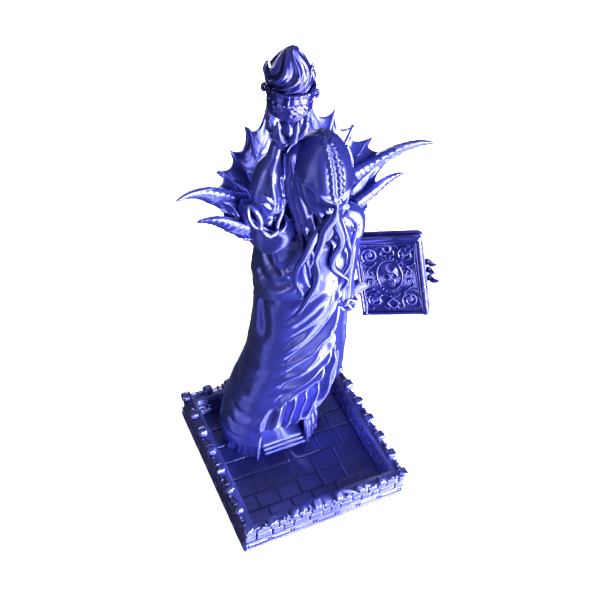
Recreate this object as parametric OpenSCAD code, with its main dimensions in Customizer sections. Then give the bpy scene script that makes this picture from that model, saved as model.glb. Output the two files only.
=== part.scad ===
// Dice tower: a hollow robed sorcerer standing in a walled catch tray.
// Dice drop in behind the head, tumble over three deflectors and roll out of the arch.
// Origin: centre of the tray's underside. +X the viewer's right, -Y the front, +Z up.

/* [Tray] */
// Side of the square that the tray's corner knobs stand on
tray_pitch = 90; // [84:1:100]
// Number of gaps between knobs along one side
knob_gaps = 7; // [5:1:9]
// Height of the tray wall's top
wall_top = 17; // [14:0.5:20]
// Thickness of the tray wall
wall_t = 6; // [5:0.5:7]
// Thickness of the tray floor
floor_t = 3; // [2:0.5:4]
// Radius of the bead that runs round the plinth
bead_r = 1.1; // [0.8:0.1:1.4]

/* [Tower] */
// Thickness of the tower's shell
shell_t = 3; // [2.4:0.2:3.6]
// Height of the seam between the underskirt and the robe
hem_z = 25; // [24:1:27]
// Height of the seam at the waist
waist_z = 128; // [126:1:130]
// Height of the shoulders
shoulder_z = 162; // [158:1:164]
// Width of the exit arch
arch_w = 26; // [24:0.5:28]
// Height of the exit arch's crown above the table
arch_top = 33; // [30:1:34]
// Width of the throat that the dice drop into
throat_w = 30; // [24:1:32]
// Depth of the throat, front to back
throat_d = 23; // [20:1:24]

/* [Deflectors] */
// Slope of the deflector shelves, in degrees
shelf_slope = 35; // [30:1:42]
// How far a deflector reaches across the shaft
shelf_reach = 15; // [11:1:17]
// Thickness of a deflector shelf
shelf_t = 3; // [2:0.5:4]

/* [Head and collar] */
// Radius of the head
head_r = 10.4; // [9:0.2:11]
// Length of the head from chin to crown
head_len = 36; // [33:1:38]
// Backward tilt of the head, in degrees
head_tilt = 32; // [25:1:40]
// Thickness of the collar
collar_t = 1.8; // [1.6:0.2:2.4]
// Radius of the peg at a horn's root
peg_r = 1.6; // [1.2:0.1:2]

/* [Brazier] */
// Radius of the brazier bowl at its rim
bowl_r = 9.6; // [8.5:0.1:10.5]
// Height of the brazier bowl
bowl_h = 15; // [12:0.5:17]
// Radius of the flame's plug
plug_r = 5; // [4:0.5:6]
// Radial clearance between the flame's plug and the bowl's socket
plug_gap = 0.1; // [0.05:0.05:0.2]

/* [Book] */
// Width of the book
book_w = 32.4; // [28:0.2:34]
// Height of the book
book_h = 42; // [38:0.5:44]
// Thickness of one cover board
board_t = 2; // [1.5:0.1:2.5]
// Thickness of the page block
pages_t = 3.4; // [2.5:0.1:4.5]

/* [Hidden] */
$fn = 48;
e = 0.01;                               // overcut that keeps faces from coinciding

knob_step = tray_pitch / knob_gaps;
half = tray_pitch / 2;
plinth_half = half + 2;
wall_out = half + 1.4;
wall_in = wall_out - wall_t;
plinth_h = 7;
merlon_h = 2;
knob_r = 2.6;
knob_h = 2;

// Body sections: height, centre x, centre y, half width, half depth.
SKIRT = [[floor_t, -3, 19, 28.5, 20], [hem_z, -3.6, 18.5, 28, 20.5]];
ROBE = [
    [hem_z, -3.6, 18.2, 30.5, 22.5], [45, -1.8, 16.6, 29.4, 22.6],
    [60, 1.2, 15.4, 28.6, 22], [75, 2.6, 14.4, 26, 21], [92, 2.6, 13.4, 24.4, 20],
    [108, 2.2, 12.8, 23.4, 19.8], [waist_z, 1.8, 12.6, 22.8, 19.8]
];
TORSO = [
    [waist_z, 1.4, 12.6, 23.6, 20.8], [137, 1.2, 12.4, 23, 20.6],
    [150, 0.8, 12.2, 21.6, 20],
    [shoulder_z, 0.4, 12, 20.6, 19.4]
];
YOKE = [
    [shoulder_z, 0.4, 12, 20.6, 19.4], [shoulder_z + 2.5, 0.4, 12, 19.4, 18.2],
    [shoulder_z + 4, 0.4, 12, 17.4, 16.4]
];
RING_N = 36;                            // points round a body section

// Collar: azimuth from the back, distance from the tower's axis and height of the rim.
COLLAR_RIM = [
    [0, 29, 202], [29, 29.6, 199.6], [46, 31, 194.7], [56, 34.6, 188.4],
    [69, 37, 185.5], [77, 37.4, 175], [86, 30.5, 166]
];
COLLAR_SPIKES = [0, 20, 38, 52, 64];    // azimuths of the rim's spikes
collar_y = 10;                          // the collar's axis
collar_end = 86;                        // azimuth of the collar's front edges
spike_h = 6;
spike_w = 4.5;

shaft_y = 14.5;                         // centre of the throat
arch_x = -2;                            // centre of the exit arch
HEAD = [0, -0.5, 199.5];                // centre of the head
BOWL = [-14, 10.5, 223];                // underside of the bowl
BOOK = [40.2, -4.4, 132.6];             // centre of the book
BOOK_TURN = [-13.3, -17.5, -36.7];      // how the book is held
BOSS_UP = [34.2, 21.3, 179];            // root of an upper horn, on the +X side
BOSS_LOW = [31.2, 14.6, 167.6];         // root of a lower horn
HORN_UP = [[0, 0, 0], [6, -2, 5], [12.6, -4.4, 9.8], [19.6, -7.2, 12.8], [25.8, -10.4, 13.8]];
HORN_LOW = [[0, 0, 0], [5, 0, 3.6], [9.8, 0.4, 6.2], [14.4, 0.7, 7.4], [18.6, 0.8, 7.5]];
horn_up_r = 4.2;                        // radius of an upper horn at its root
horn_low_r = 3.8;
boss_r = 4;
peg_len = 3.5;

DEFLECTOR_Z = [58, 88, 124];            // heights of the deflectors at the wall
ramp_back = 17;                         // height of the ramp at the back of the shaft
ramp_nose = 3.2;                        // height of the ramp at its foot
plug_len = 8;                           // depth of the flame's socket below the rim

// ---- building blocks ----

// Closed solid through rings of points, each with the same count, listed upwards.
module loft(rings) {
    n = len(rings[0]);
    m = len(rings);
    sides = [
        for (i = [0:m - 2], j = [0:n - 1])
            let (a = i * n + j, b = i * n + (j + 1) % n)
                each [[a, a + n, b + n], [a, b + n, b]]
    ];
    bottom = [[for (j = [0:n - 1]) j]];
    top = [[for (j = [n - 1:-1:0]) (m - 1) * n + j]];
    polyhedron(points = [for (r = rings) each r], faces = concat(bottom, sides, top));
}

// One elliptical ring of a body section, shrunk by inset.
function ring(s, inset) = [
    for (j = [0:RING_N - 1])
        let (a = 360 * j / RING_N)
            [s[1] + (s[3] - inset) * cos(a), s[2] + (s[4] - inset) * sin(a), s[0]]
];

// A body section list with its end heights moved, so that a bore runs right through.
function reach(list, low, high) = [
    for (i = [0:len(list) - 1])
        let (s = list[i])
            i == 0 ? [s[0] - low, s[1], s[2], s[3], s[4]]
            : i == len(list) - 1 ? [s[0] + high, s[1], s[2], s[3], s[4]] : s
];

module body_solid(list, inset = 0, low = 0, high = 0) {
    loft([for (s = reach(list, low, high)) ring(s, inset)]);
}

module body_shell(list) {
    difference() {
        body_solid(list);
        body_solid(list, shell_t, e, e);
    }
}

function unit(v) = v / norm(v);

// A tube or horn along points, with one radius at each point.
module sweep(path, radii, sides = 10, side_hint = [0, 1, 0]) {
    last = len(path) - 1;
    rings = [
        for (i = [0:last])
            let (
                t = unit(path[min(i + 1, last)] - path[max(i - 1, 0)]),
                u = unit(cross(side_hint, t)),
                v = cross(t, u)
            )
                [for (j = [0:sides - 1])
                    let (a = 360 * j / sides)
                        path[i] + radii[i] * (u * cos(a) + v * sin(a))]
    ];
    loft(rings);
}

// Points along a smooth curve through hand-placed points (Catmull-Rom).
function curve(p, steps) = [
    for (i = [0:len(p) - 2], k = [0:steps - 1]) let (
        a = p[max(i - 1, 0)], b = p[i], c = p[i + 1],
        d = p[min(i + 2, len(p) - 1)], t = k / steps
    )
        0.5 * (2 * b + (c - a) * t + (2 * a - 5 * b + 4 * c - d) * t * t
            + (3 * b - a - 3 * c + d) * t * t * t),
    p[len(p) - 1]
];

function flip(p) = [for (q = p) [-q[0], q[1], q[2]]];

module at_tray_edge() {
    for (turn = [0:3])
        rotate([0, 0, 90 * turn])
            children();
}

// ---- tray ----

// Plinth with the floor, edged by a bead with a ring at every knob.
module tray_base() {
    color([0.27, 0.29, 0.66])
    difference() {
        union() {
            translate([-plinth_half, -plinth_half, 0])
                cube([2 * plinth_half, 2 * plinth_half, 1.6]);
            translate([1.2 - plinth_half, 1.2 - plinth_half, 1.6])
                cube([2 * plinth_half - 2.4, 2 * plinth_half - 2.4, plinth_h - 2.6]);
            translate([-plinth_half, -plinth_half, plinth_h - 1])
                cube([2 * plinth_half, 2 * plinth_half, 1]);
            at_tray_edge() {
                translate([-plinth_half + 1, 1.2 - plinth_half, 3.8])
                    rotate([0, 90, 0])
                        cylinder(r = bead_r, h = 2 * plinth_half - 2);
                for (k = [0:knob_gaps])
                    translate([-half + k * knob_step - 0.6, 1.4 - plinth_half, 3.8])
                        rotate([0, 90, 0])
                            cylinder(r = bead_r + 0.3, h = 1.2);
            }
        }
        translate([-wall_in, -wall_in, floor_t])
            cube([2 * wall_in, 2 * wall_in, plinth_h]);
        floor_joints();
    }
}

// Grooves between the floor's flagstones.
module floor_joints() {
    pitch = 2 * wall_in / 6;
    for (k = [1:5]) {
        translate([-wall_in + k * pitch - 0.4, -wall_in, floor_t - 0.5])
            cube([0.8, wall_in - 3, 1]);
        if (k < 4)
            translate([-wall_in, -wall_in + k * pitch - 0.4, floor_t - 0.5])
                cube([2 * wall_in, 0.8, 1]);
    }
}

// Masonry wall with low merlons between the knobs.
module tray_wall() {
    course = (wall_top - plinth_h) / 3;
    color([0.29, 0.31, 0.7])
    difference() {
        union() {
            translate([-wall_out, -wall_out, plinth_h])
                cube([2 * wall_out, 2 * wall_out, wall_top - plinth_h]);
            at_tray_edge()
                for (k = [0:knob_gaps - 1])
                    translate([-half + (k + 0.5) * knob_step - 3, -wall_out, wall_top - e])
                        cube([6, wall_t, merlon_h + e]);
        }
        translate([-wall_in, -wall_in, plinth_h - 1])
            cube([2 * wall_in, 2 * wall_in, wall_top + merlon_h]);
        at_tray_edge()
            for (row = [1:2])
                translate([-wall_in - 1, -wall_in - 0.4, plinth_h + row * course - 0.3])
                    cube([2 * wall_in + 2, 1, 0.6]);
    }
}

// Faceted studs that stand on the wall, one at every gap line.
module tray_knobs() {
    color([0.36, 0.38, 0.8])
    at_tray_edge()
        for (k = [0:knob_gaps - 1])
            translate([-half + k * knob_step, -half, wall_top]) {
                cylinder(r = knob_r, h = knob_h, $fn = 8);
                translate([0, 0, knob_h])
                    cylinder(r1 = knob_r, r2 = 1, h = 1.7, $fn = 8);
            }
}

// ---- tower shells ----

module arch_cut() {
    translate([arch_x - arch_w / 2, -8, floor_t - 1])
        cube([arch_w, 24, arch_top - floor_t - arch_w / 4 + 1]);
    translate([arch_x, 16, arch_top - arch_w / 4])
        rotate([90, 0, 0])
            arch_head();
}

// Low rounded head of the arch: a segment of a larger circle.
module arch_head() {
    rise = arch_w / 4;
    big = (arch_w * arch_w / 4 + rise * rise) / (2 * rise);
    intersection() {
        translate([0, rise - big, 0])
            cylinder(r = big, h = 24);
        translate([-arch_w / 2, -1, 0])
            cube([arch_w, rise + 2, 24]);
    }
}

module underskirt() {
    color([0.2, 0.21, 0.5])
    difference() {
        body_shell(SKIRT);
        arch_cut();
    }
}

module robe_lower() {
    color([0.35, 0.37, 0.82])
    difference() {
        body_shell(ROBE);
        arch_cut();
    }
}

module robe_upper() {
    color([0.33, 0.35, 0.78])
    body_shell(TORSO);
}

// Closes the shoulders round the throat.
module shoulder_yoke() {
    color([0.3, 0.32, 0.72])
    difference() {
        body_solid(YOKE);
        translate([-throat_w / 2, shaft_y - throat_d / 2, shoulder_z - 1])
            cube([throat_w, throat_d, 8]);
    }
}

// ---- dice run ----

// Smooth slope from the back of the shaft to the arch, with two steps at its foot.
module exit_ramp() {
    foot_y = 4;
    back_y = 34;
    color([0.28, 0.3, 0.68])
    intersection() {
        union() {
            translate([arch_x - arch_w / 2 + 0.5, 0, floor_t])
                rotate([90, 0, 90])
                    linear_extrude(arch_w - 1)
                        polygon([
                            [foot_y, 0], [back_y, 0],
                            [back_y, ramp_back], [foot_y, ramp_nose]
                        ]);
            for (k = [0:1])
                translate([arch_x - arch_w / 2 + 0.5, k * 2 - 1, floor_t])
                    cube([arch_w - 1, foot_y + 1 - 2 * k, 1 + k]);
        }
        body_solid(SKIRT, shell_t);
    }
}

// A shelf that slopes down from one side of the shaft; side is -1 for front, 1 for back.
module deflector(side, z) {
    drop = shelf_reach * tan(shelf_slope);
    color([0.28, 0.3, 0.68])
    intersection() {
        robe_or_torso_hollow(z);
        translate([-40, shaft_y, z])
            mirror([0, side < 0 ? 1 : 0, 0])
                rotate([90, 0, 90])
                    linear_extrude(80)
                        polygon([
                            [20 - shelf_reach, -drop], [40, 20 * tan(shelf_slope)],
                            [40, 20 * tan(shelf_slope) - shelf_t],
                            [20 - shelf_reach, -drop - shelf_t]
                        ]);
    }
}

// The hollow of whichever shell stands at height z; it trims a deflector to the walls.
module robe_or_torso_hollow(z) {
    if (z < waist_z)
        body_solid(ROBE, shell_t);
    else
        body_solid(TORSO, shell_t);
}

module deflector_lower() {
    deflector(-1, DEFLECTOR_Z[0]);
}

module deflector_middle() {
    deflector(1, DEFLECTOR_Z[1]);
}

module deflector_upper() {
    deflector(-1, DEFLECTOR_Z[2]);
}

// ---- collar and horns ----

// Distance and height of the rim at azimuth a, with its spikes.
function rim_lift(a) = max([
    for (k = COLLAR_SPIKES)
        pow(max(0, 1 - abs(abs(a) - k) / spike_w), 1.3)
]);
function rim_r(a) = lookup(abs(a), [for (p = COLLAR_RIM) [p[0], p[1]]])
    + 0.5 * spike_h * rim_lift(a);
function rim_z(a) = lookup(abs(a), [for (p = COLLAR_RIM) [p[0], p[2]]])
    + 0.85 * spike_h * rim_lift(a);

// Distance from the collar's axis to the shoulder line at azimuth a.
function foot_r(a) = 1 / sqrt(pow(sin(a) / 20.4, 2) + pow(cos(a) / 19, 2)) - 0.2
    + 1.6 * cos(a);

function collar_point(a, s, out) =
    let (
        r = foot_r(a) + (rim_r(a) - foot_r(a)) * pow(s, 1.25) + out,
        z = shoulder_z + 1 + (rim_z(a) - shoulder_z - 1) * s
    )
        [r * sin(a), collar_y + r * cos(a), z - 0.4 * out];

module collar_sheet() {
    cols = 86;
    rows = 4;
    inner = [
        for (i = [0:cols], j = [0:rows])
            collar_point(-collar_end + 2 * collar_end * i / cols, j / rows, 0)
    ];
    outer = [
        for (i = [0:cols], j = [0:rows])
            collar_point(-collar_end + 2 * collar_end * i / cols, j / rows, collar_t)
    ];
    m = rows + 1;
    n = (cols + 1) * m;
    faces_in = [
        for (i = [0:cols - 1], j = [0:rows - 1])
            let (a = i * m + j)
                each [[a, a + m + 1, a + m], [a, a + 1, a + m + 1]]
    ];
    faces_out = [for (f = faces_in) [f[0] + n, f[2] + n, f[1] + n]];
    rim = concat(
        [for (i = [0:cols]) i * m],
        [for (j = [1:rows]) cols * m + j],
        [for (i = [cols - 1:-1:0]) i * m + rows],
        [for (j = [rows - 1:-1:1]) j]
    );
    c = len(rim);
    faces_rim = [
        for (k = [0:c - 1])
            let (a = rim[k], b = rim[(k + 1) % c])
                each [[a, b, n + b], [a, n + b, n + a]]
    ];
    polyhedron(points = concat(inner, outer), faces = concat(faces_in, faces_out, faces_rim));
}

function horn_dir(path) = unit(path[1] - path[0]);

// Places children with +Z along d at p.
module aim(p, d) {
    translate(p)
        rotate([0, acos(d[2]), atan2(d[1], d[0])])
            children();
}

function mirror_x(p, side) = [side * p[0], p[1], p[2]];

// Thickened sockets that the horns' pegs are glued into.
module horn_boss(p, path, side) {
    d = mirror_x(horn_dir(path), side);
    aim(mirror_x(p, side), d)
        translate([0, 0, -5])
            cylinder(r = boss_r, h = 5);
}

module collar() {
    color([0.4, 0.42, 0.88])
    difference() {
        union() {
            collar_sheet();
            for (side = [-1, 1]) {
                horn_boss(BOSS_UP, HORN_UP, side);
                horn_boss(BOSS_LOW, HORN_LOW, side);
            }
        }
        shoulder_mass();
        for (side = [-1, 1]) {
            peg_hole(BOSS_UP, HORN_UP, side);
            peg_hole(BOSS_LOW, HORN_LOW, side);
        }
    }
}

module peg_hole(p, path, side) {
    aim(mirror_x(p, side), mirror_x(horn_dir(path), side))
        translate([0, 0, -peg_len])
            cylinder(r = peg_r, h = peg_len + 1);
}

// A curved tapering horn with a peg at its root.
module horn(p, path, side, root_r) {
    pts = [for (q = curve(path, 3)) p + q];
    n = len(pts) - 1;
    placed = side > 0 ? pts : flip(pts);
    radii = [for (i = [0:n]) root_r * pow(1 - i / n, 0.85) + 0.35];
    color([0.42, 0.44, 0.9])
    union() {
        difference() {
            sweep(placed, radii, 12, [0, 1, 0.01]);
            collar_sheet();
            horn_boss(p, path, side);
        }
        aim(mirror_x(p, side), mirror_x(horn_dir(path), side))
            translate([0, 0, -peg_len])
                cylinder(r = peg_r, h = peg_len + 1);
    }
}

module horn_upper_right() {
    horn(BOSS_UP, HORN_UP, -1, horn_up_r);
}

module horn_upper_left() {
    horn(BOSS_UP, HORN_UP, 1, horn_up_r);
}

module horn_lower_right() {
    horn(BOSS_LOW, HORN_LOW, -1, horn_low_r);
}

module horn_lower_left() {
    horn(BOSS_LOW, HORN_LOW, 1, horn_low_r);
}

// ---- head ----

// Egg-shaped outline of the head, from chin to crown.
function egg(steps) = [
    for (i = [0:steps])
        let (a = 180 * i / steps, w = 1 + 0.12 * cos(a + 180))
            [head_r * w * sin(a), -head_len / 2 * cos(a)]
];

module head() {
    color([0.37, 0.39, 0.84]) {
        translate(HEAD)
            rotate([-head_tilt, 0, 0])
                rotate_extrude()
                    polygon(egg(14));
        neck();
    }
}

module neck() {
    translate([0, -1.5, shoulder_z + 4])
        cylinder(r1 = 4.2, r2 = 5.2, h = 22);
}

// Four tapering tentacles that hang from the face over the chest.
module face_tentacles() {
    inner = [
        [3, -9, 184], [4, -12.5, 176], [7, -13, 166], [10, -11.5, 156], [8, -12, 147],
        [13, -9.5, 138], [16, -7, 131]
    ];
    outer = [[7, -8, 182], [10.5, -11, 172], [11, -12, 162], [14, -10, 153], [17, -7.5, 146]];
    color([0.45, 0.47, 0.93])
    difference() {
        union()
            for (side = [-1, 1]) {
                tentacle(inner, side, 2.6, 0.9);
                tentacle(outer, side, 2.2, 0.8);
            }
        body_solid(TORSO);
        head_cut();
    }
}

module head_cut() {
    translate(HEAD)
        rotate([-head_tilt, 0, 0])
            rotate_extrude()
                polygon(egg(14));
    neck();
    shoulder_mass();
}

module shoulder_mass() {
    body_solid(YOKE);
}

module tentacle(path, side, r0, r1) {
    pts = curve(path, 3);
    n = len(pts) - 1;
    placed = side > 0 ? pts : flip(pts);
    sweep(placed, [for (i = [0:n]) r0 + (r1 - r0) * i / n], 8, [0, 1, 0.01]);
}

// ---- right arm and brazier ----

module ball(p, r) {
    translate(p)
        sphere(r = r, $fn = 20);
}

// Chain of blended balls.
module limb(list) {
    for (i = [0:len(list) - 2])
        hull() {
            ball(list[i][0], list[i][1]);
            ball(list[i + 1][0], list[i + 1][1]);
        }
}

SLEEVE_R = [[[-17, 10, 155], 7], [[-23, 14, 167], 8.6], [[-19.5, 13.5, 183], 6]];
FOREARM_R = [[[-19.5, 13.5, 182], 4], [[-15.5, 14.5, 199], 3.4], [[-14.3, 12.6, 211], 4.4]];
SLEEVE_L = [[[19, 9, 157], 8], [[25, 4, 145], 7], [[25.4, -1, 120], 6]];
HAND_L = [[[27.5, 0.5, 123], 3.6], [[36, 3, 127], 3.6], [[44, 1.6, 129], 3.4]];

module right_sleeve() {
    color([0.38, 0.4, 0.85])
    difference() {
        limb(SLEEVE_R);
        limb(FOREARM_R);
        body_solid(TORSO);
        shoulder_mass();
        collar_trim();
        translate([-32, 14, 168.5])
            sphere(r = 6, $fn = 20);
    }
}

// The collar's hollow side, widened by its thickness, trims what meets it.
module collar_trim() {
    collar_sheet();
    for (side = [-1, 1])
        horn_boss(BOSS_LOW, HORN_LOW, side);
}

module right_forearm() {
    color([0.42, 0.44, 0.9])
    difference() {
        union() {
            limb(FOREARM_R);
            for (a = [20, 80, 140, 260])
                finger(a);
        }
        translate(BOWL)
            bowl_mass();
        body_solid(TORSO);
    }
}

// One finger that reaches up from the palm under the bowl.
module finger(a) {
    hull() {
        ball([-14.3, 12.6, 213], 2);
        ball(BOWL + [7.5 * cos(a), 7.5 * sin(a), 2.5], 1.1);
    }
}

// Outer form of the bowl.
module bowl_mass() {
    rotate_extrude()
        polygon([
            [0, 0], [3.2, 0], [6.2, 1.4], [8.4, 4.4], [9, 8], [8.2, 10.2],
            [bowl_r, 11.4], [bowl_r, bowl_h], [0, bowl_h]
        ]);
}

module brazier_bowl() {
    color([0.3, 0.32, 0.72])
    translate(BOWL)
        difference() {
            union() {
                bowl_mass();
                for (side = [-1, 1])
                    rotate([0, 0, -30])
                        translate([side * (bowl_r + 0.1), 0, bowl_h - 2.6])
                            rotate([90, 0, 0])
                                rotate_extrude()
                                    translate([1.5, 0])
                                        circle(r = 0.7, $fn = 16);
            }
            translate([0, 0, bowl_h - 3])
                cylinder(r = bowl_r - 1.4, h = 4);
            translate([0, 0, bowl_h - plug_len])
                cylinder(r = plug_r + plug_gap, h = plug_len + 2);
        }
}

// Lift-out flame with a plug that stands in the bowl.
module flame() {
    tip_z = 30;
    color([0.45, 0.47, 0.93])
    translate(BOWL) {
        translate([0, 0, bowl_h - plug_len])
            cylinder(r = plug_r, h = plug_len - 2);
        translate([0, 0, bowl_h - 3])
            rotate_extrude()
                polygon([
                    [0, 0], [7.4, 0], [7.7, 3.4], [8.9, 5], [8.8, 7], [7.6, 9.6], [5.4, 12],
                    [3, 14.6], [1, 17], [0, tip_z - bowl_h + 3]
                ]);
        for (a = [150, 330])
            rotate([0, 0, a])
                translate([7.2, 0, bowl_h + 1])
                    rotate([0, 10, 0])
                        cylinder(r1 = 2.2, r2 = 0.4, h = 8.5, $fn = 24);
    }
}

// ---- left arm and book ----

module left_sleeve() {
    color([0.38, 0.4, 0.85])
    difference() {
        limb(SLEEVE_L);
        body_solid(TORSO);
        body_solid(ROBE);
        shoulder_mass();
        limb(HAND_L);
        collar_trim();
        book_space();
    }
}

module left_hand() {
    color([0.42, 0.44, 0.9])
    difference() {
        union() {
            limb(HAND_L);
            book_frame()
                for (k = [0:2])
                    hull() {
                        translate([6, 3.6, 3.5 * k - 4])
                            sphere(r = 1.8, $fn = 16);
                        translate([book_w / 2 + 5 - k, 2.4, 3.5 * k - 4])
                            sphere(r = 0.7, $fn = 16);
                    }
        }
        book_space();
        body_solid(TORSO);
    }
}

module book_frame() {
    translate(BOOK)
        rotate(BOOK_TURN)
            children();
}

book_t = pages_t + 2 * board_t;

module book_space() {
    book_frame()
        translate([-book_w / 2, -book_t / 2, -book_h / 2])
            cube([book_w, book_t, book_h]);
}

module book_front_cover() {
    color([0.3, 0.32, 0.74])
    book_frame() {
        difference() {
            translate([-book_w / 2, -book_t / 2, -book_h / 2])
                cube([book_w, board_t, book_h]);
            translate([-book_w / 2 + 3.4, -book_t / 2 - 1, -book_h / 2 + 2])
                cube([book_w - 6.8, 1.8, book_h - 5]);
        }
        translate([0, -book_t / 2 + 0.9, 1])
            rotate([90, 0, 0])
                cylinder(r = 5.5, h = 0.8);
    }
}

module book_pages() {
    color([0.4, 0.42, 0.86])
    book_frame()
        translate([-book_w / 2 + 1, -pages_t / 2, -book_h / 2 + 1])
            cube([book_w - 2, pages_t, book_h - 2]);
}

// Back board with the spine.
module book_back_cover() {
    color([0.3, 0.32, 0.74])
    book_frame() {
        translate([-book_w / 2, pages_t / 2, -book_h / 2])
            cube([book_w, board_t, book_h]);
        translate([-book_w / 2, -pages_t / 2, -book_h / 2])
            cube([1, pages_t, book_h]);
    }
}

tray_base();
tray_wall();
tray_knobs();
underskirt();
robe_lower();
robe_upper();
shoulder_yoke();
exit_ramp();
deflector_lower();
deflector_middle();
deflector_upper();
collar();
horn_upper_left();
horn_upper_right();
horn_lower_left();
horn_lower_right();
head();
face_tentacles();
right_sleeve();
right_forearm();
brazier_bowl();
flame();
left_sleeve();
left_hand();
book_front_cover();
book_pages();
book_back_cover();
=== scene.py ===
"""Visual model of the dice tower: a robed figure on a walled tray, in silk filament."""

import math

import bmesh
import bpy
import numpy as np
from mathutils import Euler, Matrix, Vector


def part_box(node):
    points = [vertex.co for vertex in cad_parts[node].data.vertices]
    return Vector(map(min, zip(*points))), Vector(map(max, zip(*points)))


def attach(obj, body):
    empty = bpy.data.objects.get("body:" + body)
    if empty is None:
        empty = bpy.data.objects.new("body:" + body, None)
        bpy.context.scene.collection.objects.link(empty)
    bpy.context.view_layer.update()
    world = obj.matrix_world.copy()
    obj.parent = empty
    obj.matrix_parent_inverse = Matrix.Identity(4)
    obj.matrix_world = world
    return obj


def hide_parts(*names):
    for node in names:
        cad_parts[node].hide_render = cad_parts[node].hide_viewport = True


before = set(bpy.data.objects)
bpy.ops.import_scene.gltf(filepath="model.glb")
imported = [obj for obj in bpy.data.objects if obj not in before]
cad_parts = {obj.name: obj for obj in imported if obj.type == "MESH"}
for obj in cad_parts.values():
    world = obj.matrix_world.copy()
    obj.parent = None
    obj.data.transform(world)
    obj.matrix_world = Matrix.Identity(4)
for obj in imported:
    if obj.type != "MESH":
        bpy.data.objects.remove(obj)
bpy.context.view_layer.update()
MM = 0.001
scene = bpy.context.scene


# ---- numbers and fields ----

def corners(node):
    """Lowest and highest corner of a CAD node, in mm."""
    lo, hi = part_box(node)
    return np.array(lo) / MM, np.array(hi) / MM


def smooth(t):
    """Soft step from 0 to 1."""
    t = np.clip(t, 0, 1)
    return t * t * (3 - 2 * t)


def vnoise(p, seed=0):
    """Value noise in -1..1 at points p (n, 3)."""
    p = np.asarray(p, float)
    i = np.floor(p).astype(np.int64)
    f = p - i
    f = f * f * (3 - 2 * f)
    total = np.zeros(len(p))
    for corner in range(8):
        d = np.array([corner & 1, corner >> 1 & 1, corner >> 2 & 1])
        q = i + d
        h = (q[:, 0] * 73856093) ^ (q[:, 1] * 19349663) ^ (q[:, 2] * 83492791) ^ (seed * 40503 + 977)
        h = (h ^ (h >> 13)) * 1274126177 & 0x7FFFFFFF
        h = (h ^ (h >> 15)) * 668265263 & 0x7FFFFFFF
        v = (h ^ (h >> 12) & 0xFFFF) % 65536 / 32767.5 - 1
        w = np.prod(np.where(d == 1, f, 1 - f), axis=1)
        total += v * w
    return total


def fbm(p, seed=0, octaves=3):
    """Value noise summed over octaves."""
    p = np.asarray(p, float)
    total, gain = np.zeros(len(p)), 1.0
    for k in range(octaves):
        total += gain * vnoise(p * 2 ** k, seed + k)
        gain *= 0.5
    return total


def spline(points, steps=6, closed=False):
    """Catmull-Rom curve through points, any dimension."""
    p = np.asarray(points, float)
    n = len(p)
    out = []
    for i in range(n if closed else n - 1):
        if closed:
            a, b, c, d = p[(i - 1) % n], p[i], p[(i + 1) % n], p[(i + 2) % n]
        else:
            a, b, c, d = p[max(i - 1, 0)], p[i], p[i + 1], p[min(i + 2, n - 1)]
        for k in range(steps):
            t = k / steps
            out.append(0.5 * (2 * b + (c - a) * t + (2 * a - 5 * b + 4 * c - d) * t ** 2
                              + (3 * b - a - 3 * c + d) * t ** 3))
    if not closed:
        out.append(p[-1])
    return np.array(out)


def lookup(x, table):
    """Smooth interpolation of a table of (x, values...) rows; x is any array."""
    t = spline(np.array(table, float), 8)
    return [np.interp(x, t[:, 0], t[:, k]) for k in range(1, t.shape[1])]


def sections(node):
    """Rows (z, centre x, centre y, half width, half depth) of a body node's outline."""
    co = np.array([v.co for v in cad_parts[node].data.vertices]) / MM
    rows = []
    for z in np.unique(np.round(co[:, 2], 1)):
        ring = co[np.abs(co[:, 2] - z) < 0.06]
        if len(ring) < 24:
            continue
        lo, hi = ring.min(0), ring.max(0)
        if hi[0] - lo[0] < 30:
            continue
        cy = ring[ring[:, 0].argmax(), 1]
        rows.append((z, (lo[0] + hi[0]) / 2, cy, (hi[0] - lo[0]) / 2, hi[1] - cy))
    return rows


# ---- meshes ----

def grid_faces(rows, cols, wrap_rows=False, wrap_cols=False):
    """Quads over a grid of points, closed round on itself where asked."""
    r = np.arange(rows if wrap_rows else rows - 1)
    c = np.arange(cols if wrap_cols else cols - 1)
    r, c = np.meshgrid(r, c, indexing="ij")
    r, c = r.ravel(), c.ravel()
    r2, c2 = (r + 1) % rows, (c + 1) % cols
    return np.stack([r * cols + c, r * cols + c2, r2 * cols + c2, r2 * cols + c], 1).tolist()


def join(parts):
    """One (verts, faces) from several."""
    verts, faces, n = [], [], 0
    for v, f in parts:
        verts.append(np.asarray(v, float))
        faces += [[i + n for i in face] for face in f]
        n += len(v)
    return np.concatenate(verts), faces


def shell(outer, inner):
    """Closed wall between an outer and an inner grid (rows, cols, 3), both wrapped round."""
    g = np.concatenate([outer, inner[::-1]])
    return g.reshape(-1, 3), grid_faces(g.shape[0], g.shape[1], True, True)


def capped(rings, low, high):
    """Closed skin over rings (rows, cols, 3) with one pole at each end."""
    rows, cols = rings.shape[:2]
    verts = np.concatenate([rings.reshape(-1, 3), [low, high]])
    faces = grid_faces(rows, cols, False, True)
    low_pole, high_pole, last = len(verts) - 2, len(verts) - 1, (rows - 1) * cols
    for j in range(cols):
        k = (j + 1) % cols
        faces.append([low_pole, k, j])
        faces.append([high_pole, last + j, last + k])
    return verts, faces


def sheet(front, back):
    """Closed sheet between a front grid and a back grid (rows, cols, 3)."""
    loop = np.concatenate([front, back[::-1]])
    rows, cols = loop.shape[:2]
    faces = grid_faces(rows, cols, True, False)
    for c in (0, cols - 1):
        for i in range(len(front) - 1):
            f = [i * cols + c, (i + 1) * cols + c,
                 (rows - 2 - i) * cols + c, (rows - 1 - i) * cols + c]
            faces.append(f if c == 0 else f[::-1])
    return loop.reshape(-1, 3), faces


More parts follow.
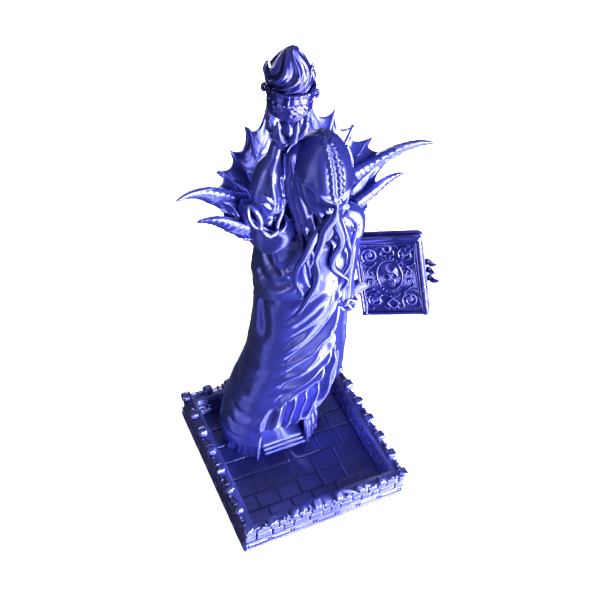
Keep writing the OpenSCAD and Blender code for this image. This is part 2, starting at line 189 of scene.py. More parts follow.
def grid_normals(g):
    """Unit normal at each point of a grid."""
    a, b = np.gradient(g, axis=0), np.gradient(g, axis=1)
    n = np.cross(a, b)
    return n / np.maximum(np.linalg.norm(n, axis=2, keepdims=True), 1e-9)


def thicken(g, front, back):
    """Closed sheet from a grid, moved by front and back along its normals."""
    n = grid_normals(g)
    return sheet(g + n * np.asarray(front)[..., None], g - n * np.asarray(back)[..., None])


ROUND_END = 0.8                              # length of a tube's rounded end, in radii


def sweep(path, radii, sides=14, relief=None, flat=1.0, up=(0, 0.2, 1)):
    """Tube along path with rounded ends. relief(i, angle) scales the radius."""
    p = np.asarray(path, float)
    r = np.broadcast_to(np.asarray(radii, float), (len(p),)).copy()
    t = np.gradient(p, axis=0)
    t /= np.maximum(np.linalg.norm(t, axis=1, keepdims=True), 1e-9)
    u = np.cross(up, t[0])
    if np.linalg.norm(u) < 1e-3:
        u = np.cross((1, 0, 0), t[0])
    angle = np.arange(sides) * 2 * math.pi / sides
    rings = []
    for i in range(len(p)):
        u = u - t[i] * np.dot(u, t[i])
        u /= np.linalg.norm(u)
        v = np.cross(t[i], u)
        s = r[i] * (relief(i, angle) if relief else np.ones(sides))
        rings.append(p[i] + s[:, None] * (np.cos(angle)[:, None] * u
                                         + flat * np.sin(angle)[:, None] * v))
    first, last = [], []
    for k in (2, 1):
        a = k * math.pi / 6
        first.append(p[0] - t[0] * r[0] * math.sin(a) * ROUND_END + (rings[0] - p[0]) * math.cos(a))
    for k in (1, 2):
        a = k * math.pi / 6
        last.append(p[-1] + t[-1] * r[-1] * math.sin(a) * ROUND_END + (rings[-1] - p[-1]) * math.cos(a))
    g = np.array(first + rings + last)
    return capped(g, p[0] - t[0] * r[0] * ROUND_END, p[-1] + t[-1] * r[-1] * ROUND_END)


def limb(points, steps, stops, radii, sides, *rest):
    """Tube along a smooth curve; the radii are read at stops between 0 and 1."""
    p = spline(points, steps)
    return sweep(p, np.interp(np.linspace(0, 1, len(p)), stops, radii), sides, *rest)


def crease(points, steps, base, height, ends, sides, power=1.0):
    """Raised cloth crease that swells in the middle and dies out at both ends."""
    p = spline(points, steps)
    return sweep(p, base + height * np.sin(math.pi * np.linspace(*ends, len(p))) ** power, sides)


def lathe(profile, centre, cols=64, relief=None):
    """Solid of revolution about z; the profile starts and ends on the axis."""
    p = np.asarray(profile, float)
    angle = np.arange(cols) * 2 * math.pi / cols
    ring = p[1:-1]
    g = np.zeros((len(ring), cols, 3))
    for i, (radius, z) in enumerate(ring):
        s = radius * (relief(radius, z, angle) if relief else 1)
        g[i, :, 0] = s * np.cos(angle)
        g[i, :, 1] = s * np.sin(angle)
        g[i, :, 2] = z
    verts, faces = capped(g, (0, 0, p[0][1]), (0, 0, p[-1][1]))
    return verts + np.asarray(centre, float), faces


def block(lo, hi, cuts, seed=0, rough=0.25, power=7.0):
    """A weathered stone or bar: a box whose edges are rounded and whose faces are uneven."""
    lo, hi = np.asarray(lo, float), np.asarray(hi, float)
    nx, ny, nz = cuts
    index, verts, faces = {}, [], []

    def at(i, j, k):
        key = (i, j, k)
        if key not in index:
            index[key] = len(verts)
            verts.append((2 * i / nx - 1, 2 * j / ny - 1, 2 * k / nz - 1))
        return index[key]

    for i in range(nx):
        for j in range(ny):
            faces.append([at(i, j, 0), at(i, j + 1, 0), at(i + 1, j + 1, 0), at(i + 1, j, 0)])
            faces.append([at(i, j, nz), at(i + 1, j, nz), at(i + 1, j + 1, nz), at(i, j + 1, nz)])
    for i in range(nx):
        for k in range(nz):
            faces.append([at(i, 0, k), at(i + 1, 0, k), at(i + 1, 0, k + 1), at(i, 0, k + 1)])
            faces.append([at(i, ny, k), at(i, ny, k + 1), at(i + 1, ny, k + 1), at(i + 1, ny, k)])
    for j in range(ny):
        for k in range(nz):
            faces.append([at(0, j, k), at(0, j, k + 1), at(0, j + 1, k + 1), at(0, j + 1, k)])
            faces.append([at(nx, j, k), at(nx, j + 1, k), at(nx, j + 1, k + 1), at(nx, j, k + 1)])
    q = np.array(verts)
    half = (hi - lo) / 2
    big = np.abs(q).max(1)
    soft = (np.abs(q) ** power).sum(1) ** (1 / power)
    q = q * (big / np.maximum(soft, 1e-9))[:, None]
    p = (lo + hi) / 2 + q * half
    if rough:
        shift = np.stack([vnoise(p * 0.55 + seed, seed * 3 + k) for k in range(3)], 1)
        fine = np.stack([vnoise(p * 1.3 + seed, seed * 5 + k) for k in range(3)], 1)
        p = np.clip(p + rough * (shift + 0.45 * fine), lo - 0.02, hi + 0.02)
    return p, faces


def square_ring(profile, half, per_side=40, wobble=0.0, seed=0):
    """Moulding round the square tray. The profile is closed: (distance out from half, z)."""
    prof = np.asarray(profile, float)
    t = np.linspace(-1, 1, per_side, endpoint=False)
    line = []
    for turn in range(4):
        for s in t:
            x, y = s, -1.0
            for _ in range(turn):
                x, y = -y, x
            line.append((x, y))
    line = np.array(line)
    g = np.zeros((len(prof), len(line), 3))
    for i, (out, z) in enumerate(prof):
        g[i, :, :2] = line * (half + out)
        g[i, :, 2] = z
    if wobble:
        flat = g.reshape(-1, 3)
        flat = flat + wobble * np.stack([vnoise(flat * 0.5, seed + k) for k in range(3)], 1)
        g = flat.reshape(g.shape)
    return g.reshape(-1, 3), grid_faces(len(prof), len(line), True, True)


def fuse(parts, voxel, rounds=3, factor=0.5):
    """Blends closed meshes into one skin: voxel remesh in mm, then smoothing."""
    verts, faces = join(parts)
    me = bpy.data.meshes.new("fuse")
    me.from_pydata(verts.tolist(), [], faces)
    ob = bpy.data.objects.new("fuse", me)
    scene.collection.objects.link(ob)
    remesh = ob.modifiers.new("remesh", "REMESH")
    remesh.mode = "VOXEL"
    remesh.voxel_size = voxel
    relax = ob.modifiers.new("relax", "SMOOTH")
    relax.iterations = rounds
    relax.factor = factor
    done = ob.evaluated_get(bpy.context.evaluated_depsgraph_get()).to_mesh()
    out = np.zeros(len(done.vertices) * 3)
    done.vertices.foreach_get("co", out)
    loops = [list(p.vertices) for p in done.polygons]
    ob.to_mesh_clear()
    bpy.data.objects.remove(ob)
    bpy.data.meshes.remove(me)
    return out.reshape(-1, 3), loops


def make(name, mesh, material, body, nodes=()):
    """A finished piece: mesh in mm to an object that rides on a CAD body."""
    verts, faces = mesh
    me = bpy.data.meshes.new(name)
    me.from_pydata((np.asarray(verts) * MM).tolist(), [], faces)
    bm = bmesh.new()
    bm.from_mesh(me)
    bmesh.ops.recalc_face_normals(bm, faces=bm.faces)
    bm.to_mesh(me)
    bm.free()
    me.materials.append(material)
    me.shade_smooth()
    ob = bpy.data.objects.new(name, me)
    scene.collection.objects.link(ob)
    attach(ob, body)
    if nodes:
        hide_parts(*nodes)
    return ob


# ---- materials ----

LAYER = 0.00025                              # printed layer height, in metres


def silk(name, deep, lit, rough=0.27, metal=0.7, coat=0.2, grain=1.0, lines=1.0):
    """Silk-effect printed plastic: layer lines, soft mottling and a painted highlight on convex edges."""
    mat = bpy.data.materials.new(name)
    mat.use_nodes = True
    tree = mat.node_tree
    new, link = tree.nodes.new, tree.links.new

    def add(kind, **values):
        """A node with its inputs set; underscores in an input's name stand for spaces."""
        node = new("ShaderNode" + kind)
        for key, value in values.items():
            node.inputs[key.replace("_", " ")].default_value = value
        return node

    def noise(scale, detail):
        """Noise fixed to the object."""
        node = add("TexNoise", Scale=scale, Detail=detail)
        link(place.outputs["Object"], node.inputs["Vector"])
        return node.outputs["Fac"]

    def blend(first, second, share):
        """Mix of a colour or a socket with a second colour."""
        node = add("Mix")
        node.data_type = "RGBA"
        if isinstance(first, tuple):
            node.inputs["A"].default_value = first
        else:
            link(first, node.inputs["A"])
        node.inputs["B"].default_value = second
        link(share, node.inputs["Factor"])
        return node.outputs["Result"]

    def spread(value, **ends):
        """A socket mapped from one range to another."""
        node = add("MapRange", **ends)
        link(value, node.inputs["Value"])
        return node.outputs["Result"]

    def bump(height, **values):
        """Fine relief of the surface."""
        node = add("Bump", **values)
        link(height, node.inputs["Height"])
        return node

    shader = tree.nodes["Principled BSDF"]
    for key, value in (("Metallic", metal), ("Coat Weight", coat), ("Coat Roughness", 0.3), ("Coat IOR", 1.7),
                       ("IOR", 2.2), ("Anisotropic", 1.0), ("Anisotropic Rotation", 0.25)):
        shader.inputs[key].default_value = value
    around = new("ShaderNodeTangent")
    around.direction_type = "RADIAL"
    around.axis = "Z"
    link(around.outputs["Tangent"], shader.inputs["Tangent"])

    place = new("ShaderNodeTexCoord")
    base = blend((*deep, 1), (*lit, 1), spread(noise(55, 4), From_Min=0.3, From_Max=0.7))
    # Painted highlight: convex edges (high pointiness) are mixed towards a paler tint of the filament.
    edge_highlight = spread(new("ShaderNodeNewGeometry").outputs["Pointiness"], From_Min=0.52, From_Max=0.62, To_Max=0.35)
    edge_highlight_tint = (*[min(1, c * 1.6 + 0.04) for c in lit], 1)
    link(blend(base, edge_highlight_tint, edge_highlight), shader.inputs["Base Color"])
    link(spread(noise(140, 3), To_Min=rough - 0.05, To_Max=rough + 0.09), shader.inputs["Roughness"])

    layers = add("TexWave", Scale=2 * math.pi / (20 * LAYER), Distortion=0.5)
    layers.wave_type = "BANDS"
    layers.bands_direction = "Z"
    link(place.outputs["Object"], layers.inputs["Vector"])
    ridges = bump(layers.outputs["Fac"], Strength=0.28 * lines, Distance=0.00004)
    skin = bump(noise(900, 2), Strength=0.22 * grain, Distance=0.00008)
    link(ridges.outputs["Normal"], skin.inputs["Normal"])
    link(skin.outputs["Normal"], shader.inputs["Normal"])
    return mat


CLOTH = silk("silk_cloth", (0.022, 0.027, 0.27), (0.033, 0.042, 0.38), rough=0.37, coat=0.45)
SKIN = silk("silk_skin", (0.017, 0.020, 0.20), (0.027, 0.033, 0.29), rough=0.42, coat=0.12, grain=1.7)
STONE = silk("silk_stone", (0.016, 0.019, 0.19), (0.029, 0.037, 0.31), rough=0.43, coat=0.55, grain=1.6)
ORNAMENT = silk("silk_ornament", (0.008, 0.008, 0.14), (0.018, 0.020, 0.24), rough=0.33, coat=0.06)
FIN = silk("silk_fin", (0.022, 0.028, 0.28), (0.036, 0.047, 0.42), rough=0.33)
# Darker, duller copy of the filament for the cowl, the book's leaves and the parts kept from the CAD: painted shade.
INNER_PAINTED_SHADE = silk("silk_inner_painted_shade", (0.016, 0.018, 0.20), (0.025, 0.029, 0.29), rough=0.46, coat=0.08, grain=1.6)
# Brighter copy of the filament for the ramp: painted light where the lamp reaches into the arch.
CHUTE_PAINTED_LIGHT = silk("silk_chute_painted_light", (0.045, 0.058, 0.48), (0.060, 0.080, 0.60), rough=0.5, metal=0.45, grain=1.6)


# ---- robe ----

DEG_MM = 0.43                                # one degree round the robe, in mm


def close_by(line, x, z, reach):
    """Which points lie within reach of the box round a flat line."""
    low, high = line.min(0) - reach, line.max(0) + reach
    return (x > low[0]) & (x < high[0]) & (z > low[1]) & (z < high[1])


def nearest(line, x, z):
    """Distance to a flat line, and the share of its length at which it is reached."""
    best, along = np.full(x.shape, 1e9), np.zeros(x.shape)
    for i in range(len(line) - 1):
        a, d = line[i], line[i + 1] - line[i]
        t = np.clip(((x - a[0]) * d[0] + (z - a[1]) * d[1]) / max(d @ d, 1e-9), 0, 1)
        dist = np.hypot(x - a[0] - t * d[0], z - a[1] - t * d[1])
        closer = dist < best
        best = np.where(closer, dist, best)
        along = np.where(closer, (i + t) / (len(line) - 1), along)
    return best, along


def fold(alpha, z, points, height, width, lip=0.0, start=0.14, end=0.35):
    """Height field of one fold drawn through (angle, z) points."""
    p = spline(points, 6)
    mid = (p[:, 0].min() + p[:, 0].max()) / 2
    x = ((alpha - mid + 180) % 360 - 180 + mid) * DEG_MM
    p = p * (DEG_MM, 1)
    near = close_by(p, x, z, 3.5 * width)
    out = np.zeros(x.shape)
    if not near.any():
        return out
    best, along = nearest(p, x[near], z[near])
    w = width * (1 - 0.35 * np.abs(2 * along - 1) ** 2)
    shape = np.exp(-(best / w) ** 2) - lip * np.exp(-((best - 1.9 * w) / (0.8 * w)) ** 2)
    out[near] = height * shape * smooth(along / start) * smooth((1 - along) / end)
    return out


# Folds as (height, width, lip, points): ridges up, creases down; they fan from the hip.
FRONT_FOLDS = [
    (1.5, 2.4, 0.3, [(24, 141), (2, 132), (-19, 122), (-46, 112)]),
    (-1.6, 1.7, 0.4, [(27, 135), (5, 122), (-14, 112), (-36, 103)]),
    (2.0, 2.6, 0.2, [(34, 133), (10, 126), (-4, 117), (-23, 104), (-42, 92)]),
    (-1.8, 1.6, 0.45, [(34, 125), (14, 112), (-2, 103), (-20, 95), (-40, 86)]),
    (1.9, 2.3, 0.2, [(35, 119), (18, 108), (10, 102), (-10, 94), (-29, 87), (-48, 82)]),
    (-1.8, 1.5, 0.45, [(32, 109), (8, 100), (-3, 91), (-18, 84), (-40, 76)]),
    (1.8, 2.2, 0.2, [(34, 101), (20, 93), (8, 88), (-8, 82), (-24, 78), (-43, 71)]),
    (-1.6, 1.4, 0.45, [(32, 96), (14, 86), (-4, 79), (-22, 73), (-38, 67)]),
    (1.9, 2.2, 0.2, [(31, 92), (12, 84), (-6, 75), (-22, 68), (-43, 59)]),
    (-1.7, 1.4, 0.45, [(26, 85), (6, 76), (-12, 68), (-32, 59)]),
    (1.6, 2.2, 0.2, [(22, 81), (4, 72), (-14, 66), (-23, 58), (-43, 52)]),
    (-2.2, 1.7, 0.45, [(30, 92), (22, 80), (17, 70), (22, 52), (26, 37)]),
    (1.6, 2.0, 0.0, [(34, 86), (27, 70), (30, 52), (36, 38)]),
    (-1.6, 1.6, 0.3, [(38, 84), (37, 62), (44, 42)]),
    (1.4, 1.9, 0.0, [(12, 74), (10, 58), (14, 44), (17, 34)]),
    (-2.0, 1.4, 0.5, [(4, 68), (4, 55), (8, 35)]),
    (1.2, 1.7, 0.0, [(-1, 64), (-1, 50), (2, 34)]),
    (-1.9, 1.3, 0.5, [(-7, 64), (-5, 50), (-4, 33)]),
    (1.4, 1.7, 0.0, [(-13, 62), (-10, 50), (-9, 33)]),
    (-1.7, 1.4, 0.4, [(-18, 60), (-15, 50), (-14, 32)]),
    (1.1, 1.7, 0.0, [(-24, 54), (-22, 46), (-22, 30)]),
    (-1.2, 1.6, 0.3, [(-28, 52), (-30, 44), (-30, 30)]),
]
SIDE_FOLDS = [
    (-1.0, 4.0, 0.2, [(-78, 126), (-71, 112), (-64, 99)]),
    (1.0, 4.0, 0.0, [(-85, 126), (-84, 110), (-86, 94)]),
    (-0.9, 3.6, 0.2, [(-99, 82), (-82, 78), (-70, 84)]),
    (-0.8, 3.6, 0.2, [(-112, 66), (-88, 59), (-62, 60)]),
    (0.2, 3.4, 0.0, [(-94, 53), (-76, 51), (-50, 56)]),
    (-0.9, 2.6, 0.2, [(-88, 47), (-61, 42), (-42, 44), (-26, 47)]),
    (0.4, 2.6, 0.0, [(-80, 39), (-52, 37), (-32, 41)]),
    (-0.8, 2.2, 0.2, [(-80, 34), (-56, 31.5), (-36, 34)]),
    (0.5, 2.2, 0.0, [(-84, 28), (-58, 26), (-38, 29)]),
    (-0.7, 2.0, 0.2, [(-92, 23), (-64, 21.5), (-40, 24)]),
    (1.3, 3.0, 0.0, [(48, 128), (56, 108), (60, 84), (60, 58), (56, 42)]),
    (-1.4, 2.6, 0.3, [(62, 126), (70, 100), (74, 70), (70, 40)]),
    (1.2, 3.2, 0.0, [(82, 124), (86, 96), (88, 60), (84, 30)]),
]


def back_folds():
    """Pleats down the hidden back, spread by a seeded generator."""
    rng = np.random.default_rng(11)
    out = []
    for k, angle in enumerate(np.arange(96, 224, 9.2)):
        bend = rng.uniform(-7, 7)
        top, low = rng.uniform(112, 127), rng.uniform(16, 24)
        height = (1.3 if k % 2 else -1.4) * rng.uniform(0.7, 1.15)
        width = rng.uniform(2.2, 3.2)
        out.append((height, width, 0.2, [(angle - bend / 2, top), (angle + bend, 90),
                                         (angle + bend * 0.4, 58), (angle, low)]))
    return out


HEM = [(-180, 17), (-125, 15), (-100, 13.5), (-70, 14), (-50, 15.4), (-38, 16), (-33.5, 16.6), (-31, 30),
       (-27, 34.6), (-18, 33.8), (-13, 36), (-6, 35.6), (0, 38), (8, 37.4), (15, 36.4), (20, 34),
       (24, 38.5), (30, 42), (44, 43.5), (56, 39), (72, 28), (100, 19), (140, 17), (180, 17)]
TUNIC = [(-180, 126), (-140, 125), (-101, 127), (-87, 126), (-63, 130), (-39, 134), (-19, 137),
         (0, 141), (20, 146), (40, 150), (62, 146), (84, 136), (110, 128), (180, 126)]


def round_body(alpha, z, rows, out=0.0):
    """Points on a body section at angle alpha (degrees from the front) and height z."""
    cx, cy, a, b = lookup(z, rows)
    s, c = np.sin(np.radians(alpha)), np.cos(np.radians(alpha))
    nx, ny = s / a, -c / b
    size = np.hypot(nx, ny)
    return np.stack([cx + a * s + out * nx / size, cy - b * c + out * ny / size, z], -1)


def merged(rows_a, rows_b):
    """Outline rows of two nodes in order of height, one row to a millimetre."""
    seen, out = set(), []
    for row in sorted(rows_a + rows_b):
        key = round(row[0])
        if key not in seen:
            seen.add(key)
            out.append(row)
    return out


def heights(low, high, rows):
    """Grid of heights from a lower to an upper edge."""
    return low + (high - low) * np.linspace(0, 1, rows)[:, None]


BODY_ROWS = [(10, -3.2, 18.8, 29.6, 21.4)] + merged(sections("robe_lower"), sections("robe_upper")[1:])


def soften(values, rounds=4):
    """Evens out a closed row of values."""
    for _ in range(rounds):
        values = (np.roll(values, 1) + 2 * values + np.roll(values, -1)) / 4
    return values


def robe():
    """Long robe whose folds fan from the hip, with a ragged hem cut away over the arch."""
    cols, rows = 440, 210
    alpha = np.linspace(-180, 180, cols, endpoint=False)
    low = soften(lookup(alpha, HEM)[0])
    high = soften(lookup(alpha, TUNIC)[0]) + 4
    z = heights(low, high, rows)
    al = np.broadcast_to(alpha, z.shape)
    out = np.zeros(z.shape)
    for height, width, lip, points in FRONT_FOLDS + SIDE_FOLDS + back_folds():
        out += fold(al, z, points, height, width, lip)
    base = round_body(al, z, BODY_ROWS)
    out += 0.35 * fbm(base.reshape(-1, 3) / 11, 5).reshape(z.shape)
    out -= 1.2 * smooth((z - high + 12) / 12)
    outer = round_body(al, z, BODY_ROWS, np.clip(out, -2.2, 3.2))
    lip_rows = []
    for k in range(4):
        a = math.pi / 2 * (k / 4)
        lip_rows.append(round_body(alpha, low - 0.7 * math.cos(a), BODY_ROWS,
                                   np.clip(out[0], -2.2, 3.2) - 0.8 * (1 - math.sin(a))))
    outer = np.concatenate([np.array(lip_rows), outer])
    zi = heights(low, high, 30)
    inner_out = np.minimum(out[np.linspace(0, rows - 1, 30).astype(int)], 0.6) - 2.2
    inner = round_body(np.broadcast_to(alpha, zi.shape), zi, BODY_ROWS, inner_out)
    return shell(outer, inner)


def tunic():
    """Over-garment that bulges over the robe and ends in a rolled lower edge."""
    cols, rows = 380, 90
    alpha = np.linspace(-180, 180, cols, endpoint=False)
    low = soften(lookup(alpha, TUNIC)[0])
    top = corners("shoulder_yoke")[1][2] - 0.2
    v = np.linspace(0, 1, rows)[:, None]
    z = low + (top - low) * v ** 1.15
    al = np.broadcast_to(alpha, z.shape)
    out = 0.9 * np.exp(-((z - low) / 9) ** 2) + 0.2
    folds = [
        (-1.2, 2.6, 0.3, [(-100, 150), (-80, 142), (-52, 142), (-30, 150)]),
        (1.0, 2.6, 0.0, [(-96, 143), (-74, 137), (-48, 138), (-24, 146)]),
        (-1.1, 2.2, 0.3, [(-88, 156), (-66, 150), (-48, 152), (-36, 158)]),
        (0.9, 2.2, 0.0, [(-70, 160), (-56, 152), (-40, 146), (-22, 142)]),
        (-1.2, 1.8, 0.3, [(-20, 158), (-16, 150), (-10, 143)]),
        (1.2, 2.2, 0.0, [(38, 160), (30, 152), (18, 147)]),
        (-1.2, 2.0, 0.3, [(52, 160), (46, 153), (38, 150)]),
        (1.0, 2.8, 0.0, [(84, 158), (78, 148), (80, 138)]),
    ]
    rng = np.random.default_rng(5)
    for k, angle in enumerate(np.arange(104, 256, 11)):
        folds.append(((1.0 if k % 2 else -1.1), rng.uniform(2.2, 3.2), 0.2,
                      [(angle, 160), (angle + rng.uniform(-5, 5), 145), (angle, 128)]))
    for height, width, lip, points in folds:
        out = out + fold(al, z, points, height, width, lip)
    base = round_body(al, z, BODY_ROWS)
    out += 0.3 * fbm(base.reshape(-1, 3) / 9, 8).reshape(z.shape)
    rows_up = BODY_ROWS + sections("shoulder_yoke")[1:]
    outer = round_body(al, z, rows_up, np.clip(out, -1.6, 2.6))
    roll = []
    for k in range(6):
        a = math.pi * (k / 6)
        roll.append(round_body(alpha, low - 0.9 * math.sin(a), BODY_ROWS,
                               np.clip(out[0], -1.6, 2.6) - 1.2 * (1 + math.cos(a)) * 0.9))
    outer = np.concatenate([np.array(roll), outer])
    zi = heights(low, top, 20)
    inner = round_body(np.broadcast_to(alpha, zi.shape), zi, rows_up, -2.6)
    return shell(outer, inner)


def underskirt():
    """Inner skirt that stands on the tray floor, with the arch for the dice."""
    cols, rows = 480, 60
    alpha = np.linspace(-180, 180, cols, endpoint=False)
    mid, wide = -0.5, 30.0
    floor = corners("underskirt")[0][2] + 0.02
    u = np.abs(alpha - mid) / wide
    low = floor + 34 * np.where(u < 1, (1 - np.minimum(u, 1) ** 5) ** 0.2, 0)
    top = 47.0
    z = heights(low, top, rows)
    al = np.broadcast_to(alpha, z.shape)
    rng = np.random.default_rng(3)
    flare = np.exp(-(z - floor) / 4.5)
    out = -1.3 - 1.6 * smooth((z - 14) / 12)
    for angle in np.arange(-170, 190, 9):
        a = angle + rng.uniform(-2, 2)
        if abs(a - mid) < wide + 2:
            continue
        d = (al - a + 180) % 360 - 180 + rng.uniform(-4, 4) * smooth((z - 4) / 24)
        w = rng.uniform(3.2, 5.0)
        out = out + rng.uniform(0.4, 1.0) * np.exp(-(d / w) ** 2) * (0.8 + 2.2 * flare)
    for a in (mid - wide - 2.5, mid + wide + 2.0):
        out = out + 0.9 * np.exp(-((al - a) / 2.2) ** 2) * (0.8 + 2.0 * flare)
    rows_s = sections("underskirt") + [(38, -2.6, 17.6, 27.4, 20.3), (50, -1.6, 16.6, 26.6, 19.8)]
    base = round_body(al, z, rows_s)
    out += 0.3 * fbm(base.reshape(-1, 3) / 5, 14).reshape(z.shape)
    outer = round_body(al, z, rows_s, np.clip(out, -3, 3.4))
    zi = heights(low, top, 16)
    pick = np.linspace(0, rows - 1, 16).astype(int)
    inner = round_body(np.broadcast_to(alpha, zi.shape), zi, rows_s, np.clip(out[pick], -3, 0) - 1.5)
    return shell(outer, inner)


make("robe_cloth", robe(), CLOTH, "tower", ["robe_lower"])
make("tunic_cloth", tunic(), CLOTH, "tower", ["robe_upper"])
make("skirt_cloth", underskirt(), CLOTH, "tower", ["underskirt"])


def ramp():
    """Smooth chute with stepped ridges at its foot."""
    lo, hi = corners("exit_ramp")
    y0, y1, z0 = lo[1] - 0.2, hi[1], lo[2] + 0.02
    steps = [(-0.2, 0), (-0.1, 0.9), (0.3, 1.2), (1.2, 1.2), (1.5, 0.8), (1.8, 0.9), (2.0, 2.0), (2.4, 2.3),
             (3.2, 2.3), (3.5, 1.9), (3.8, 2.0), (4.1, 3.2), (4.6, 3.5), (5.6, 3.5)]
    prof = [(y0 + out, z0 + up) for out, up in steps]
    for k in range(1, 15):
        t = k / 14
        prof.append((y0 + 5.6 + (y1 - y0 - 5.6) * t,
                     z0 + 3.5 + (hi[2] - z0 - 3.5) * (0.35 * t + 0.65 * t * t)))
    prof.append((y1, z0))
    prof = np.array(prof)
    xs = np.linspace(lo[0] + 0.1, hi[0] - 0.1, 24)
    g = np.zeros((len(xs), len(prof), 3))
    g[:, :, 0] = xs[:, None]
    g[:, :, 1] = prof[:, 0]
    g[:, :, 2] = prof[:, 1]
    g[:, 1:-1, 2] += 0.1 * vnoise(g[:, 1:-1].reshape(-1, 3) / 4, 3).reshape(len(xs), -1)
    verts = g.reshape(-1, 3)
    n = len(prof)
    faces = grid_faces(len(xs), n, False, True)
    faces.append(list(range(n)))
    faces.append([(len(xs) - 1) * n + k for k in range(n)][::-1])
    return verts, faces


# The ramp takes the brighter copy of the filament: painted light.
make("ramp_plate", ramp(), CHUTE_PAINTED_LIGHT, "tower", ["exit_ramp"])


# ---- tray ----

TEETH = 7                                    # studs and bead rings to a side
STEP = 90 / TEETH


def turned(verts, turn):
    """Points turned by quarter turns about z."""
    c, s = [1, 0, -1, 0][turn], [0, 1, 0, -1][turn]
    v = np.asarray(verts, float)
    return np.stack([v[:, 0] * c - v[:, 1] * s, v[:, 0] * s + v[:, 1] * c, v[:, 2]], 1)


def tray_base():
    """Plinth with a ledge and a ringed bead; the floor of weathered flagstones is made by flagstones()."""
    half = corners("tray_wall")[1][0]
    ledge = 0.6
    prof = [(-6, 0.05), (ledge - 0.1, 0.05), (ledge, 0.2), (ledge, 1.3), (ledge - 0.25, 1.6),
            (-0.6, 1.75), (-1.7, 2.1), (-1.7, 5.3), (-0.5, 5.7), (ledge - 0.25, 5.9), (ledge, 6.2),
            (ledge, 6.8), (ledge - 0.2, 7.02), (-1, 7.3), (-6, 7.3)]
    parts = [square_ring(prof, half, 60, 0.10, 4)]
    bead_z, bead_at = 3.8, half - 0.5
    for turn in range(4):
        xs = np.linspace(-half, half, 60)
        path = np.stack([xs, np.full(60, -bead_at), np.full(60, bead_z)], 1)
        v, f = sweep(path, 1.0, 12)
        parts.append((turned(v, turn), f))
        for k in range(TEETH + 1):
            x = -45 + k * STEP
            for dx in (-0.75, 0.75):
                ring = np.stack([np.linspace(x + dx - 0.3, x + dx + 0.3, 4),
                                 np.full(4, -bead_at), np.full(4, bead_z)], 1)
                v, f = sweep(ring, [1.3, 1.6, 1.6, 1.3], 12)
                parts.append((turned(v, turn), f))
    return join(parts)


def flagstones():
    """Irregular flags in the tray, laid on a slab."""
    inner = corners("tray_wall")[1][0] - 6.2
    top = corners("exit_ramp")[0][2]
    rng = np.random.default_rng(21)
    parts = [block((-inner - 1, -inner - 1, 0.1), (inner + 1, inner + 1, top - 0.45), (2, 2, 1), 1, 0, 40)]
    y = -inner
    while y < inner - 1:
        depth = min(rng.uniform(8.5, 13), inner - y)
        if inner - (y + depth) < 5:
            depth = inner - y
        x = -inner
        while x < inner - 0.5:
            width = rng.uniform(9, 17)
            if inner - (x + width) < 6:
                width = inner - x
            high = top + rng.uniform(-0.24, -0.08)
            parts.append(block((x + 0.02, y + 0.02, top - 1.6), (x + width - 0.02, y + depth - 0.02, high),
                               (12, 10, 2), int(rng.integers(1, 9999)), 0.16, 26))
            x += width
        y += depth
    return join(parts)


def tray_wall():
    """Wall core with broken stones outside, brick courses inside and a toothed top band."""
    lo, hi = corners("tray_wall")
    out_r, in_r = hi[0], hi[0] - 6
    z0, z1 = lo[2], lo[2] + 10
    core = [(-5.6, z0 - 0.3), (-1.4, z0 - 0.3), (-1.4, z1 - 1.2), (-5.6, z1 - 1.2)]
    parts = [square_ring(core, out_r, 20)]
    band = [(-6.0, z1 - 1.5), (-6.05, z1 - 0.4), (-5.8, z1 - 0.05), (-3.4, z1 + 0.05), (-1.0, z1),
            (-0.9, z1 - 0.5), (-1.1, z1 - 1.5)]
    parts.append(square_ring(band, out_r, 90, 0.16, 9))
    rng = np.random.default_rng(8)
    for turn in range(4):

        def add(low, high, cuts, rough, power):
            v, f = block(low, high, cuts, int(rng.integers(1, 9999)), rough, power)
            parts.append((turned(v, turn), f))

        heights = [z0 - 0.1, z0 + 4.9, z1 - 0.6]
        for row in range(2):
            x = -out_r + 0.1
            while x < out_r - 0.4:
                width = rng.uniform(4.2, 10)
                if out_r - (x + width) < 2.5:
                    width = out_r - 0.1 - x
                drop = rng.uniform(-0.5, 0.2) if row < 1 else rng.uniform(-0.9, 1.2)
                depth = rng.uniform(-0.5, 0.35)
                add((x, -out_r - depth - 0.05, heights[row] + 0.05),
                    (x + width - 0.5, -out_r + 1.9, heights[row + 1] + drop * 0.5 - 0.15), (9, 4, 8), 0.2, 9)
                x += width
        for k in range(TEETH):
            x = -45 + k * STEP
            n = int(rng.integers(2, 4))
            edges = np.sort(rng.uniform(x + 2.6, x + STEP - 2.6, n * 2))
            for j in range(n):
                a, b = edges[2 * j], max(edges[2 * j + 1], edges[2 * j] + 1.3)
                add((a, -out_r - 0.1, z1 - 1.6), (b, -out_r + rng.uniform(0.9, 1.9), z1 + rng.uniform(0.1, 1.3)),
                    (5, 4, 4), 0.42, 7)
        levels = np.linspace(3.1, z1 - 1.3, 4)
        for row in range(3):
            x = -in_r + 0.1
            while x < in_r - 0.3:
                width = rng.uniform(5.5, 10)
                if in_r - (x + width) < 3.5:
                    width = in_r - 0.1 - x
                add((x + 0.12, -in_r - 1.2, levels[row] + 0.12),
                    (x + width - 0.12, -in_r + rng.uniform(0.15, 0.55), levels[row + 1] - 0.12),
                    (7, 3, 4), 0.2, 8)
                x += width
    return join(parts)


